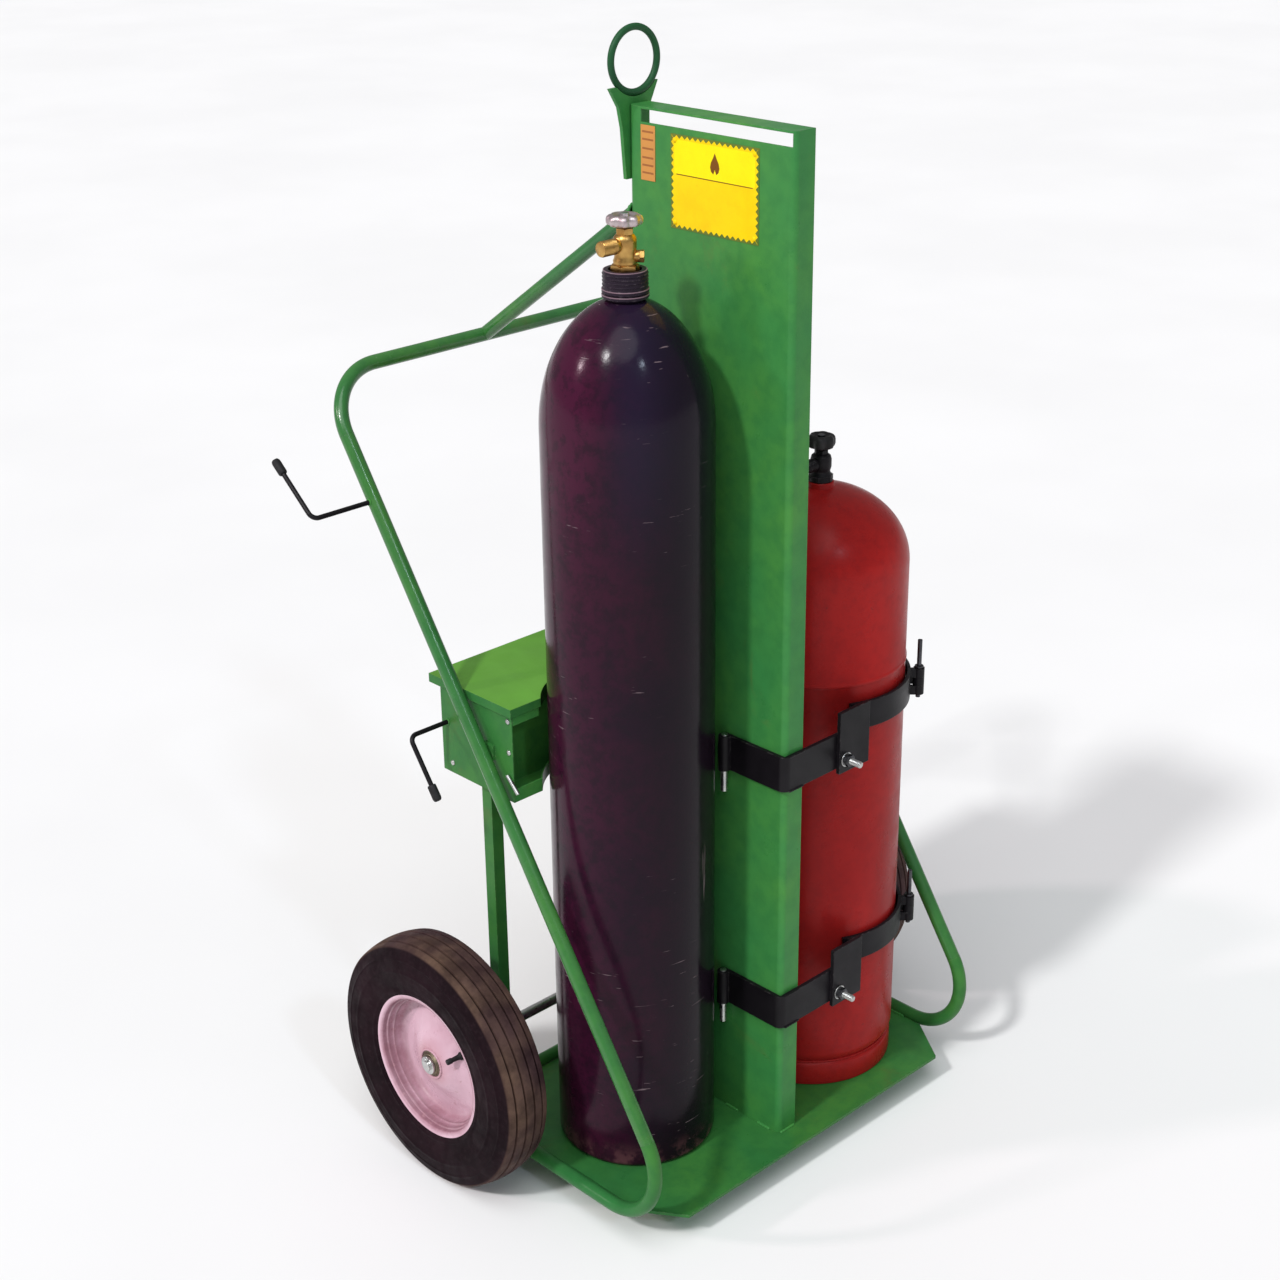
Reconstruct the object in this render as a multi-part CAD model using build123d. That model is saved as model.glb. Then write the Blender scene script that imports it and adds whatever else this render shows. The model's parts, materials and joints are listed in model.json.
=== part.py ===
from build123d import *
import math
import os

os.makedirs("parts", exist_ok=True)

# Millimetres. X runs across the cart, Y from front to rear, Z up from the floor.

# Tube frame
tube_r = 10.65
tube_wall = 2.8
rail_x = 341.5
rail_z = 54.0
front_y = -330.0
bend_r = 92.4
diagonal_deg = 56.57
handle_y = 330.0
rail_rear_y = 108.65
cross_tube_y = 98.0

# Base plate and feet
plate_top = 51.0
plate_t = 5.0
plate_half_x = 331.2
plate_front_y = -336.0
plate_rear_y = 87.2
plate_cut_x = 280.0
plate_cut_y = -262.0
foot_x = 215.0
foot_y = (-258.0, -188.0)
foot_w = 40.0

# Centre partition
wall_left = -49.5
wall_right = -12.0
wall_front = -297.0
wall_rear = 2.0
wall_top = 1551.0
sheet = 2.0
wall_fold_r = 9.0
slot_y = (-292.0, -22.0)
slot_z = (1531.0, 1548.0)

# Lifting eye
eye_x = -35.0
eye_y = 5.0
eye_z = 1607.0
eye_r = 42.2
eye_bar_r = 4.75

# Brace from handle to partition
brace_x = -40.0
brace_top_z = 1406.0

# Rear posts, axle and wheels
post_x = 294.0
post_w = 20.0
axle_y = 50.0
axle_z = 196.0
axle_r = 8.0
axle_end = 443.0
hub_in = 46.0
hub_out = 28.0
wheel_x = 408.0
wheel_r = 196.0
tyre_half_w = 44.0
rim_r = 108.0

# Toolbox
box_half_x = 326.0
box_front_y = 12.0
box_wing_y = -38.0
box_rear_y = 117.0
box_bottom = 624.0
box_top = 767.0
lid_half_x = 330.0
lid_front_y = -41.0
lid_rear_y = 137.0
lid_under = 767.3
lid_t = 3.0
lid_lip_z = 757.0
hinge_y = 127.0
hinge_z = 757.5
hinge_pin_r = 3.0
hinge_knuckle_r = 5.5
lid_clear = 9.0
cradle_clear = 10.0

# Left cylinder (oxygen)
oxy_x = -176.0
oxy_y = -121.0
oxy_r = 117.5
oxy_shoulder = 1162.0
oxy_dome = 175.0
oxy_neck_r = 22.0

# Right cylinder (fuel gas)
fuel_x = 173.0
fuel_y = -157.0
fuel_r = 132.6
fuel_shoulder = 888.0
fuel_dome = 112.0
fuel_neck_r = 20.0

# Retaining bands, upper and lower
band_levels = {"upper": 691.0, "lower": 299.0}
band_h = 42.0
band_gap = 3.5
band_t = 5.0
pin_x = 278.0
pin_y = -269.0
band_pin_r = 3.5
knuckle_r = 8.5
bar_h = 54.0
bar_drop = 29.0
bar_t = 6.0
bar_end_x = 100.0
bar_rear_y = -193.0
bolt_x = 68.0
bolt_drop = 43.0
bolt_r = 5.0

# Hose hooks
hook_r = 3.5
hook_tip_r = 6.5
hook_bend = 11.0


def block(x0, x1, y0, y1, z0, z1):
    """A box between two corners."""
    centre = Pos((x0 + x1) / 2, (y0 + y1) / 2, (z0 + z1) / 2)
    return centre * Box(x1 - x0, y1 - y0, z1 - z0)


def rod(start, end, radius):
    """A round bar from one point to another."""
    a = Vector(*start)
    b = Vector(*end)
    plane = Plane(origin=(a + b) * 0.5, z_dir=b - a)
    return plane * Cylinder(radius, (b - a).length)


def swept(path, outer, wall=0.0):
    """A round section carried along a path, hollow when it has a wall."""
    section = Circle(outer)
    if wall > 0:
        section = section - Circle(outer - wall)
    plane = Plane(origin=path @ 0, z_dir=path % 0)
    return sweep(plane * section, path=path)


def turned(runs, x, y):
    """Turn a closed profile about the upright line at x, y.

    Each run is a list of (radius, height) points that starts where the last one ended.
    A run that starts with "curve" is smooth.
    """
    edges = []
    for run in runs:
        smooth = run[0] == "curve"
        points = [(r, 0, z) for r, z in (run[1:] if smooth else run)]
        if smooth:
            edges.append(Spline(points))
        else:
            edges += Polyline(points).edges()
    return Pos(x, y, 0) * revolve(make_face(edges), Axis.Z, 360)


def save(name, shape):
    """Write one named part."""
    export_step(shape, "parts/" + name + ".step")


slope = math.radians(diagonal_deg)
run_y = math.cos(slope)
run_z = math.sin(slope)
bend_setback = bend_r / math.tan(slope / 2)
bend_cy = front_y + bend_r
bend_cz = rail_z + bend_r
vertex_y = bend_cy - bend_setback
handle_z = rail_z + (handle_y - vertex_y) * math.tan(slope)
bend_end = (bend_cy - bend_r * run_z, bend_cz + bend_r * run_y)
top_start = (handle_y - bend_r * run_y, handle_z - bend_r * run_z)

# Tube frame, left and right
for side, s in (("left", -1), ("right", 1)):
    x = s * rail_x
    straight = Line((x, rail_rear_y, rail_z), (x, bend_cy, rail_z))
    start_a = 270.0
    end_a = 90.0 + diagonal_deg
    mid_a = math.radians((start_a + end_a) / 2)
    curve = ThreePointArc(
        (x, bend_cy, rail_z),
        (x, bend_cy + bend_r * math.cos(mid_a), bend_cz + bend_r * math.sin(mid_a)),
        (x, bend_end[0], bend_end[1]),
    )
    rail = swept(straight, tube_r, tube_wall) + swept(curve, tube_r, tube_wall)
    save("base_rail_" + side, rail)

    diagonal = Line((x, bend_end[0], bend_end[1]), (x, top_start[0], top_start[1]))
    save("side_tube_" + side, swept(diagonal, tube_r, tube_wall))

    inner = x - s * bend_r
    diag = Vector(0, run_y, run_z)
    across = Vector(-s, 0, 0)
    centre = Vector(inner, top_start[0], top_start[1])
    middle = centre + (diag - across) * (bend_r / math.sqrt(2))
    corner = ThreePointArc(
        (x, top_start[0], top_start[1]),
        middle,
        (inner, handle_y, handle_z),
    )
    save("handle_bend_" + side, swept(corner, tube_r, tube_wall))

bar_half = rail_x - bend_r
handle = Line((-bar_half, handle_y, handle_z), (bar_half, handle_y, handle_z))
save("handle_bar", swept(handle, tube_r, tube_wall))

cross_half = rail_x - tube_r
cross = Line((-cross_half, cross_tube_y, rail_z), (cross_half, cross_tube_y, rail_z))
save("rear_cross_tube", swept(cross, tube_r, tube_wall))

# Base plate with clipped front corners
outline = [
    (-plate_half_x, plate_rear_y),
    (-plate_half_x, plate_cut_y),
    (-plate_cut_x, plate_front_y),
    (plate_cut_x, plate_front_y),
    (plate_half_x, plate_cut_y),
    (plate_half_x, plate_rear_y),
]
plate = extrude(make_face(Polyline(outline, close=True)), plate_t)
save("base_plate", Pos(0, 0, plate_top - plate_t) * plate)

for side, s in (("left", -1), ("right", 1)):
    x = s * foot_x
    under = plate_top - plate_t
    foot = block(x - foot_w / 2, x + foot_w / 2, foot_y[0], foot_y[1], 0, under)
    hollow = block(x - 16, x + 16, foot_y[0] - 1, foot_y[1] + 1, 4, under - 4)
    save("front_foot_" + side, foot - hollow)

# Partition: a sheet pan with a long slot under its top fold
folds = [
    (wall_right, wall_front),
    (wall_left, wall_front),
    (wall_left, wall_rear),
    (wall_right, wall_rear),
]
inner_folds = [
    (wall_right + 1, wall_front + sheet),
    (wall_left + sheet, wall_front + sheet),
    (wall_left + sheet, wall_rear - sheet),
    (wall_right + 1, wall_rear - sheet),
]
outer_face = make_face(Polyline(folds, close=True))
outer_face = fillet(outer_face.vertices().sort_by(Axis.X)[:2], wall_fold_r)
inner_face = make_face(Polyline(inner_folds, close=True))
inner_face = fillet(inner_face.vertices().sort_by(Axis.X)[:2], wall_fold_r - sheet)
pan = Pos(0, 0, plate_top) * extrude(outer_face, wall_top - plate_top)
pan -= Pos(0, 0, plate_top - 1) * extrude(inner_face, wall_top - sheet - plate_top + 1)
pan -= block(wall_left - 1, wall_left + sheet + 1, *slot_y, *slot_z)
save("partition", pan)

# Lifting eye on its tapered plate
plate_points = [
    (-82, 1574),
    (6, 1577),
    (-9, 1546),
    (-24, 1520),
    (-37, 1452),
    (-54, 1452),
    (-60, 1520),
    (-66, 1548),
]
eye_plate = extrude(
    Plane.XZ * make_face(Polyline(plate_points, close=True)), 6, both=False
)
eye_plate = Pos(0, wall_rear + 6, 0) * eye_plate
seat = rod((eye_x, 0, eye_z), (eye_x, 12, eye_z), eye_r + eye_bar_r)
save("eye_plate", eye_plate - seat)
ring_frame = Plane(origin=(eye_x, eye_y, eye_z), z_dir=(0, 1, 0))
save("lifting_eye", ring_frame * Torus(eye_r, eye_bar_r))

# Brace between the handle and the partition's rear fold
low = Vector(brace_x, handle_y, handle_z)
high = Vector(brace_x, wall_rear, brace_top_z)
beyond = high + (high - low).normalized() * 25
brace = rod(tuple(low), tuple(beyond), tube_r) - rod(tuple(low), tuple(beyond), 7.85)
brace -= block(brace_x - 20, brace_x + 20, wall_rear - 60, wall_rear, 1350, 1460)
brace -= rod((-120, handle_y, handle_z), (60, handle_y, handle_z), tube_r)
save("handle_brace", brace.solids().sort_by(SortBy.VOLUME)[-1])

# Rear posts and axle
for side, s in (("left", -1), ("right", 1)):
    x = s * post_x
    w = post_w / 2
    post = block(x - w, x + w, axle_y - w, axle_y + w, plate_top, box_bottom)
    post -= block(
        x - w + 2, x + w - 2, axle_y - w + 2, axle_y + w - 2, plate_top - 1, box_bottom + 1
    )
    post -= rod((x - 20, axle_y, axle_z), (x + 20, axle_y, axle_z), axle_r + 0.05)
    save("rear_post_" + side, post)

axle = rod((-axle_end, axle_y, axle_z), (axle_end, axle_y, axle_z), axle_r)
for s in (-1, 1):
    for near in (wheel_x - hub_in - 0.5, wheel_x + hub_out + 3.5):
        axle += rod((s * (near - 3), axle_y, axle_z), (s * near, axle_y, axle_z), 14)
save("axle", axle)

# Wheels: tyre, dished rim and hub, turned about the axle
groove_x = (-24.0, -8.0, 8.0, 24.0)
tread_edge = (34.0, 190.4)
sidewall = [(31.0, rim_r), (39.6, 126.0), (tyre_half_w, 153.0), (41.0, 174.5), tread_edge]
lining = [(23, rim_r), (31, 130), (35, 152), (30, 174), (0, 183)]
tyre_edges = [
    Spline([(a, r, 0) for a, r in sidewall]),
    Spline([(-a, r, 0) for a, r in sidewall]),
    ThreePointArc((-tread_edge[0], tread_edge[1], 0), (0, wheel_r, 0), (*tread_edge, 0)),
    Line((31, rim_r, 0), (23, rim_r, 0)),
    Line((-31, rim_r, 0), (-23, rim_r, 0)),
]
tyre_edges += Polyline([(a, r, 0) for a, r in lining]).edges()
tyre_edges += Polyline([(-a, r, 0) for a, r in lining]).edges()
tyre_face = make_face(tyre_edges)
for g in groove_x:
    tyre_face -= Pos(g, wheel_r - 1.5) * Rectangle(3, 9)
tyre = revolve(tyre_face, Axis.X, 360)

rim_points = [
    (-36, rim_r + 9),
    (-33, rim_r + 9),
    (-31, rim_r),
    (31, rim_r),
    (33, rim_r + 9),
    (36, rim_r + 9),
    (34, rim_r - 3),
    (16, rim_r - 6),
    (6, rim_r - 12),
    (-4, 60),
    (-14, 40),
    (-20, 22),
    (-24, 22),
    (-18, 41),
    (-8, 61),
    (0, rim_r - 13),
    (-10, rim_r - 8),
    (-34, rim_r - 3),
]
rim_face = make_face(Polyline([(a, r, 0) for a, r in rim_points], close=True))
rim = revolve(rim_face, Axis.X, 360)
tyre -= rod((-40, 0, 0), (40, 0, 0), rim_r + 0.001)
for a in (-36, 33):
    tyre -= rod((a, 0, 0), (a + 3, 0, 0), rim_r + 9) - rod((a, 0, 0), (a + 3, 0, 0), 90)
for s in (-1, 1):
    skirt = make_face(
        Polyline([(s * 33, rim_r + 9, 0), (s * 31, rim_r, 0), (s * 33, rim_r, 0)], close=True)
    )
    tyre -= revolve(skirt, Axis.X, 360)
hub = rod((-hub_out, 0, 0), (hub_in, 0, 0), 16) + rod((-20, 0, 0), (-24, 0, 0), 22)
hub -= rod((-50, 0, 0), (50, 0, 0), axle_r + 0.05)

for side, s in (("left", -1), ("right", 1)):
    place = Pos(s * wheel_x, axle_y, axle_z) * Rot(0, 0, 0 if s < 0 else 180)
    save("tyre_" + side, place * tyre)
    save("rim_" + side, place * rim)
    save("hub_" + side, place * hub)

# Toolbox tray with side wings reaching forward to the cradles
tray = block(-box_half_x, box_half_x, box_front_y, box_rear_y, box_bottom, box_top)
tray -= block(
    -box_half_x + sheet,
    box_half_x - sheet,
    box_front_y + sheet,
    box_rear_y - sheet,
    box_bottom + sheet,
    box_top + 1,
)
lug_z = 690.0
lug_y = vertex_y + (lug_z - rail_z) / math.tan(slope)
for s in (-1, 1):
    edge = sorted((s * box_half_x, s * (box_half_x - sheet)))
    tray += block(edge[0], edge[1], box_wing_y, box_front_y, box_bottom, box_top)
    lug = sorted((s * box_half_x, s * (rail_x - tube_r)))
    tray += block(lug[0], lug[1], lug_y - 11, lug_y + 11, lug_z - 11, lug_z + 11)
knuckle_x = (-220.0, 0.0, 220.0)
for x in knuckle_x:
    for a in (x - 31, x + 16):
        tray += rod((a, hinge_y, hinge_z), (a + 15, hinge_y, hinge_z), hinge_knuckle_r)
        tray += block(a, a + 15, box_rear_y, hinge_y, hinge_z - 2, hinge_z + 2)
tray -= rod((-300, hinge_y, hinge_z), (300, hinge_y, hinge_z), hinge_pin_r)
save("toolbox", tray)
save("lid_hinge_pin", rod((-254, hinge_y, hinge_z), (254, hinge_y, hinge_z), hinge_pin_r))

# Lid with a turned-down lip, scalloped around the two cylinders
def scalloped(x0, x1, y0, y1, clear):
    """A flat outline with both cylinders' arcs cut out of it, each with a clearance."""
    face = Pos((x0 + x1) / 2, (y0 + y1) / 2) * Rectangle(x1 - x0, y1 - y0)
    face -= Pos(oxy_x, oxy_y) * Circle(oxy_r + clear)
    face -= Pos(fuel_x, fuel_y) * Circle(fuel_r + clear)
    return face


notch_y = 5.0
lid_face = scalloped(-lid_half_x, lid_half_x, lid_front_y, lid_rear_y, lid_clear)
under_face = scalloped(
    -lid_half_x + sheet,
    lid_half_x - sheet,
    lid_front_y + sheet,
    lid_rear_y - sheet,
    lid_clear + sheet,
)
notch = Pos((wall_left + wall_right) / 2, lid_front_y) * Rectangle(
    wall_right - wall_left + 6, 2 * (notch_y - lid_front_y)
)
lid = extrude(lid_face - notch, lid_under + lid_t - lid_lip_z)
lid -= extrude(under_face + notch, lid_under - lid_lip_z)
lid = Pos(0, 0, lid_lip_z) * lid
for x in knuckle_x:
    lid += rod((x - 15.5, hinge_y, hinge_z), (x + 15.5, hinge_y, hinge_z), hinge_knuckle_r)
    lid += block(x - 15.5, x + 15.5, hinge_y, hinge_y + 3, hinge_z, lid_under + 1)
lid -= rod((-300, hinge_y, hinge_z), (300, hinge_y, hinge_z), hinge_pin_r + 0.05)
for x in knuckle_x:
    for a in (x - 31, x + 16):
        lid -= rod((a - 0.4, hinge_y, hinge_z), (a + 15.4, hinge_y, hinge_z), 7)
save("toolbox_lid", lid)

# Cradles under the lid: channels whose fronts are cut to the cylinders
cradle_back = box_front_y
for side, x0, x1 in (
    ("left", -box_half_x + sheet, wall_left),
    ("right", wall_right, box_half_x - sheet),
):
    back = Pos((x0 + x1) / 2, cradle_back - 1) * Rectangle(x1 - x0, 2)
    low_z = box_bottom
    cradle = Pos(0, 0, low_z) * extrude(back, box_top - low_z)
    for clear, shelf_z, lip_z, lip_h in (
        (cradle_clear, low_z, low_z, 20),
        (lid_clear + sheet + 1, box_top - sheet, box_top - 24, 24),
    ):
        full = scalloped(x0, x1, box_wing_y, cradle_back, clear)
        inside = scalloped(x0 - 5, x1 + 5, box_wing_y + sheet, cradle_back + 5, clear + sheet)
        cradle += Pos(0, 0, shelf_z) * extrude(full, sheet)
        cradle += Pos(0, 0, lip_z) * extrude(full - inside, lip_h)
    cradle -= block(wall_left, wall_right, wall_front, wall_rear, low_z - 1, box_top + 1)
    save("cradle_" + side, cradle)

save("keeper_pin", rod((-329.1, -28, 665), (-329.1, -50, 643), 3))

# Placards on the partition's left face
save("yellow_placard", block(wall_left - 1, wall_left, -237, -78, 1399, 1523))
save("orange_placard", block(wall_left - 1, wall_left, -49, -22, 1455, 1528))

# Retaining bands for the right cylinder
band_in = fuel_r + band_gap
band_out = band_in + band_t
pin_deg = math.degrees(math.atan2(pin_y - fuel_y, pin_x - fuel_x))


def sector(first, last):
    """A flat ring sector round the right cylinder between two angles."""
    steps = 40
    reach = 400.0
    points = [(fuel_x, fuel_y)]
    for i in range(steps + 1):
        a = math.radians(first + (last - first) * i / steps)
        points.append((fuel_x + reach * math.cos(a), fuel_y + reach * math.sin(a)))
    ring = Pos(fuel_x, fuel_y) * (Circle(band_out) - Circle(band_in))
    return ring & make_face(Polyline(points, close=True))


def slab(face, z0, z1):
    """Raise a flat face between two heights."""
    return Pos(0, 0, z0) * extrude(face, z1 - z0)


def knuckle(z0, z1, hand):
    """One hinge knuckle with the web that joins it to its own side of the band."""
    toward = Vector(fuel_x - pin_x, fuel_y - pin_y, 0).normalized()
    across = Vector(-toward.Y, toward.X, 0) * hand
    pin = Vector(pin_x, pin_y, 0)
    root = pin + toward * 17.5
    near = across * 0.5
    far = across * 7
    web = [pin + near, pin + far, root + far, root + near]
    face = make_face(Polyline([(p.X, p.Y) for p in web], close=True))
    piece = slab(face, z0, z1)
    return piece + rod((pin_x, pin_y, z0), (pin_x, pin_y, z1), knuckle_r)


for level, z in band_levels.items():
    low_z = z - band_h / 2
    high_z = z + band_h / 2
    third = band_h / 3

    rear = slab(sector(pin_deg + 0.6, 186), low_z, high_z)
    rear += knuckle(low_z + third + 0.3, high_z - third - 0.3, -1)
    rear -= rod((fuel_x, fuel_y, low_z - 1), (fuel_x, fuel_y, high_z + 1), band_in)
    inner_x = wall_left + sheet
    rear += block(inner_x, fuel_x - band_in - 2, fuel_y - 3, fuel_y + 3, z - 15, z + 15)
    rear += block(inner_x, inner_x + 4, fuel_y - 25, fuel_y + 25, z - 21, z + 21)
    rear -= rod((pin_x, pin_y, low_z - 1), (pin_x, pin_y, high_z + 1), band_pin_r)
    save(level + "_band_rear", rear)

    pin = rod((pin_x, pin_y, low_z - 6), (pin_x, pin_y, high_z + 45), band_pin_r)
    save(level + "_band_hinge_pin", pin)

    bar_z = z - bar_drop
    bar_low = bar_z - bar_h / 2
    bar_high = bar_z + bar_h / 2
    bar_front = wall_front - bar_t
    bar = block(wall_left - bar_t, wall_left, bar_front, bar_rear_y, bar_low, bar_high)
    bar += block(wall_left - bar_t, bar_end_x, bar_front, wall_front, bar_low, bar_high)
    corner_at = Vector(wall_left - bar_t, bar_front, bar_z)
    bend = bar.edges().filter_by(Axis.Z).sort_by(lambda e: (e.center() - corner_at).length)[0]
    bar = fillet(bend, wall_fold_r + 3)
    eye_cx = wall_left - 9
    eye_cy = bar_rear_y + 4
    bar += rod((eye_cx, eye_cy, bar_low), (eye_cx, eye_cy, bar_high), 9)
    bar -= rod((eye_cx, eye_cy, bar_low - 1), (eye_cx, eye_cy, bar_high + 1), 5)
    behind = (bar_rear_y - 10, bar_rear_y + 20, bar_low - 1, bar_high + 1)
    bar -= block(wall_left, wall_left + 10, *behind)
    bolt_z = z - bolt_drop
    bar -= rod((bolt_x, bar_front - 1, bolt_z), (bolt_x, wall_front + 1, bolt_z), bolt_r + 3)
    save(level + "_band_bar", bar)
    top = bar_high + 2
    save(level + "_bar_pin", rod((eye_cx, eye_cy, bar_low - 34), (eye_cx, eye_cy, top), 5))

    ear_back = bar_front - 0.3
    ear_front = ear_back - 6
    front = slab(sector(-118, pin_deg - 0.6), low_z, high_z)
    front += knuckle(low_z, low_z + third, 1)
    front += knuckle(high_z - third, high_z, 1)
    front -= rod((fuel_x, fuel_y, low_z - 1), (fuel_x, fuel_y, high_z + 1), band_in)
    front += block(112, 118, ear_front, -283, low_z, high_z)
    front += block(54, 118, ear_front, ear_back, z - 63, z + 33)
    hole = rod((bolt_x, ear_front - 1, bolt_z), (bolt_x, ear_back + 1, bolt_z), bolt_r + 0.05)
    front -= hole
    front -= rod((pin_x, pin_y, low_z - 1), (pin_x, pin_y, high_z + 1), band_pin_r + 0.05)
    save(level + "_band_front", front)

    bolt = rod((bolt_x, -338.5, bolt_z), (bolt_x, wall_front, bolt_z), bolt_r)
    head = Plane(origin=(bolt_x, ear_front - 0.2, bolt_z), z_dir=(0, -1, 0))
    bolt += extrude(head * RegularPolygon(9.5, 6), 8)
    save(level + "_clamp_bolt", bolt)

# Hose hooks, upper pair on the side tubes and lower pair on the toolbox
upper_z = 1013.0
upper_y = vertex_y + (upper_z - rail_z) / math.tan(slope)
for side, s in (("left", -1), ("right", 1)):
    hooks = {
        "upper": [
            (s * (rail_x + tube_r - 0.2), upper_y, upper_z),
            (s * 448.7, upper_y, upper_z),
            (s * 448.7, 304.5, 1080.4),
        ],
        "lower": [
            (s * box_half_x, 104.0, 703.0),
            (s * 395.0, 104.0, 703.0),
            (s * 395.0, 46.5, 621.5),
        ],
    }
    for level, points in hooks.items():
        corner = Vector(*points[1])
        end = Vector(*points[2])
        way = (end - corner).normalized()
        tip_start = end - way * 25
        path = FilletPolyline(points[0], points[1], tuple(end - way * 3), radius=hook_bend)
        arm = swept(path, hook_r)
        if level == "upper":
            tube = rod((s * rail_x, bend_end[0], bend_end[1]), (s * rail_x, *top_start), tube_r)
            arm -= tube
        save("hook_" + level + "_" + side, arm)
        tip = rod(tuple(tip_start), tuple(end), hook_tip_r)
        tip -= rod(tuple(tip_start - way), tuple(end - way * 3), hook_r)
        save("hook_tip_" + level + "_" + side, tip)


def dome(radius, height, base, neck, count=18):
    """Points of a domed shoulder from its full radius in to the neck."""
    last = math.acos(neck / radius)
    points = []
    for i in range(count + 1):
        a = last * i / count
        points.append((radius * math.cos(a), base + height * math.sin(a)))
    return points


# Left cylinder with its neck ring, valve and handwheel
wall = 6.5
foot = [(0.0, plate_top + 10), (60, plate_top + 8), (96, plate_top), (oxy_r - 7, plate_top)]
foot += [(oxy_r, plate_top + 9), (oxy_r, oxy_shoulder)]
outer_dome = dome(oxy_r, oxy_dome, oxy_shoulder, oxy_neck_r)
inner_dome = dome(oxy_r - wall, oxy_dome - wall, oxy_shoulder, 12)
neck = [outer_dome[-1], (oxy_neck_r, 1368), (12, 1368), inner_dome[-1]]
floor = [(oxy_r - wall, oxy_shoulder), (oxy_r - wall, plate_top + 30)]
floor += [(90, plate_top + 20), (0.0, plate_top + 20), (0.0, plate_top + 10)]
runs = [foot, ["curve"] + outer_dome, neck, ["curve"] + inner_dome[::-1], floor]
save("oxygen_cylinder", turned(runs, oxy_x, oxy_y))

collar_points = [
    (oxy_neck_r, 1336),
    (31, 1336),
    (31, 1340),
    (28.5, 1341),
    (28.5, 1343),
    (31, 1344),
    (31, 1348),
    (29.5, 1349),
    (29.5, 1371),
    (28, 1373),
    (oxy_neck_r, 1373),
    (oxy_neck_r, 1336),
]
save("oxygen_neck_ring", turned([collar_points], oxy_x, oxy_y))

valve = rod((oxy_x, oxy_y, 1342), (oxy_x, oxy_y, 1368), 12)
valve += rod((oxy_x, oxy_y, 1368), (oxy_x, oxy_y, 1382), 17)
valve += rod((oxy_x, oxy_y, 1382), (oxy_x, oxy_y, 1418), 14)
valve += rod((oxy_x, oxy_y, 1418), (oxy_x, oxy_y, 1427), 10)
valve += rod((oxy_x, oxy_y, 1427), (oxy_x, oxy_y, 1442), 4)
valve += rod((oxy_x, oxy_y, 1406), (oxy_x - 43, oxy_y, 1406), 10.5)
valve += rod((oxy_x, oxy_y, 1389), (oxy_x + 18, oxy_y - 18, 1389), 8)
save("oxygen_valve", valve)


def handwheel(x, y, z0, radius, height, lobes):
    """A round grip with shallow finger lobes and a shaft hole."""
    wheel = rod((x, y, z0), (x, y, z0 + height), radius)
    for i in range(lobes):
        a = 2 * math.pi * (i + 0.5) / lobes
        cx = x + (radius + 3.5) * math.cos(a)
        cy = y + (radius + 3.5) * math.sin(a)
        wheel -= rod((cx, cy, z0 - 1), (cx, cy, z0 + height + 1), 6)
    wheel -= rod((x, y, z0 - 1), (x, y, z0 + height - 3), 4.05)
    return wheel


save("oxygen_handwheel", handwheel(oxy_x, oxy_y, 1428.5, 24, 17, 8))

# Right cylinder with its foot ring, seam bead, valve and handwheel
wall = 5.0
foot = [(0.0, plate_top + 26), (112, plate_top + 26), (118, plate_top)]
foot += [(fuel_r - 2, plate_top), (fuel_r - 2, plate_top + 36)]
foot += [(fuel_r - 7, plate_top + 39), (fuel_r - 7, plate_top + 43)]
foot += [(fuel_r, plate_top + 52), (fuel_r, 735), (fuel_r + 1.5, 736.5)]
foot += [(fuel_r + 1.5, 739.5), (fuel_r, 741), (fuel_r, fuel_shoulder)]
outer_dome = dome(fuel_r, fuel_dome, fuel_shoulder, fuel_neck_r)
inner_dome = dome(fuel_r - wall, fuel_dome - wall, fuel_shoulder, 11)
neck = [outer_dome[-1], (fuel_neck_r, 1007), (11, 1007), inner_dome[-1]]
floor = [(fuel_r - wall, fuel_shoulder), (fuel_r - wall, plate_top + 62)]
floor += [(90, plate_top + 36), (0.0, plate_top + 34), (0.0, plate_top + 26)]
runs = [foot, ["curve"] + outer_dome, neck, ["curve"] + inner_dome[::-1], floor]
save("fuel_cylinder", turned(runs, fuel_x, fuel_y))

valve = rod((fuel_x, fuel_y, 985), (fuel_x, fuel_y, 1007), 11)
valve += rod((fuel_x, fuel_y, 1007), (fuel_x, fuel_y, 1020), 18)
valve += rod((fuel_x, fuel_y, 1020), (fuel_x, fuel_y, 1048), 15)
valve += rod((fuel_x, fuel_y, 1048), (fuel_x, fuel_y, 1055), 9)
valve += rod((fuel_x, fuel_y, 1055), (fuel_x, fuel_y, 1072), 4)
valve += rod((fuel_x, fuel_y, 1034), (fuel_x - 36, fuel_y, 1034), 10)
save("fuel_valve", valve)
save("fuel_handwheel", handwheel(fuel_x, fuel_y, 1056.5, 21, 20, 6))
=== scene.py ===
"""The gas cylinder cart's looks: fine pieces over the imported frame, paints, floor, lights and camera."""

import json
import math
import random

import bmesh
import bpy
from mathutils import Matrix, Vector


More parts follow.
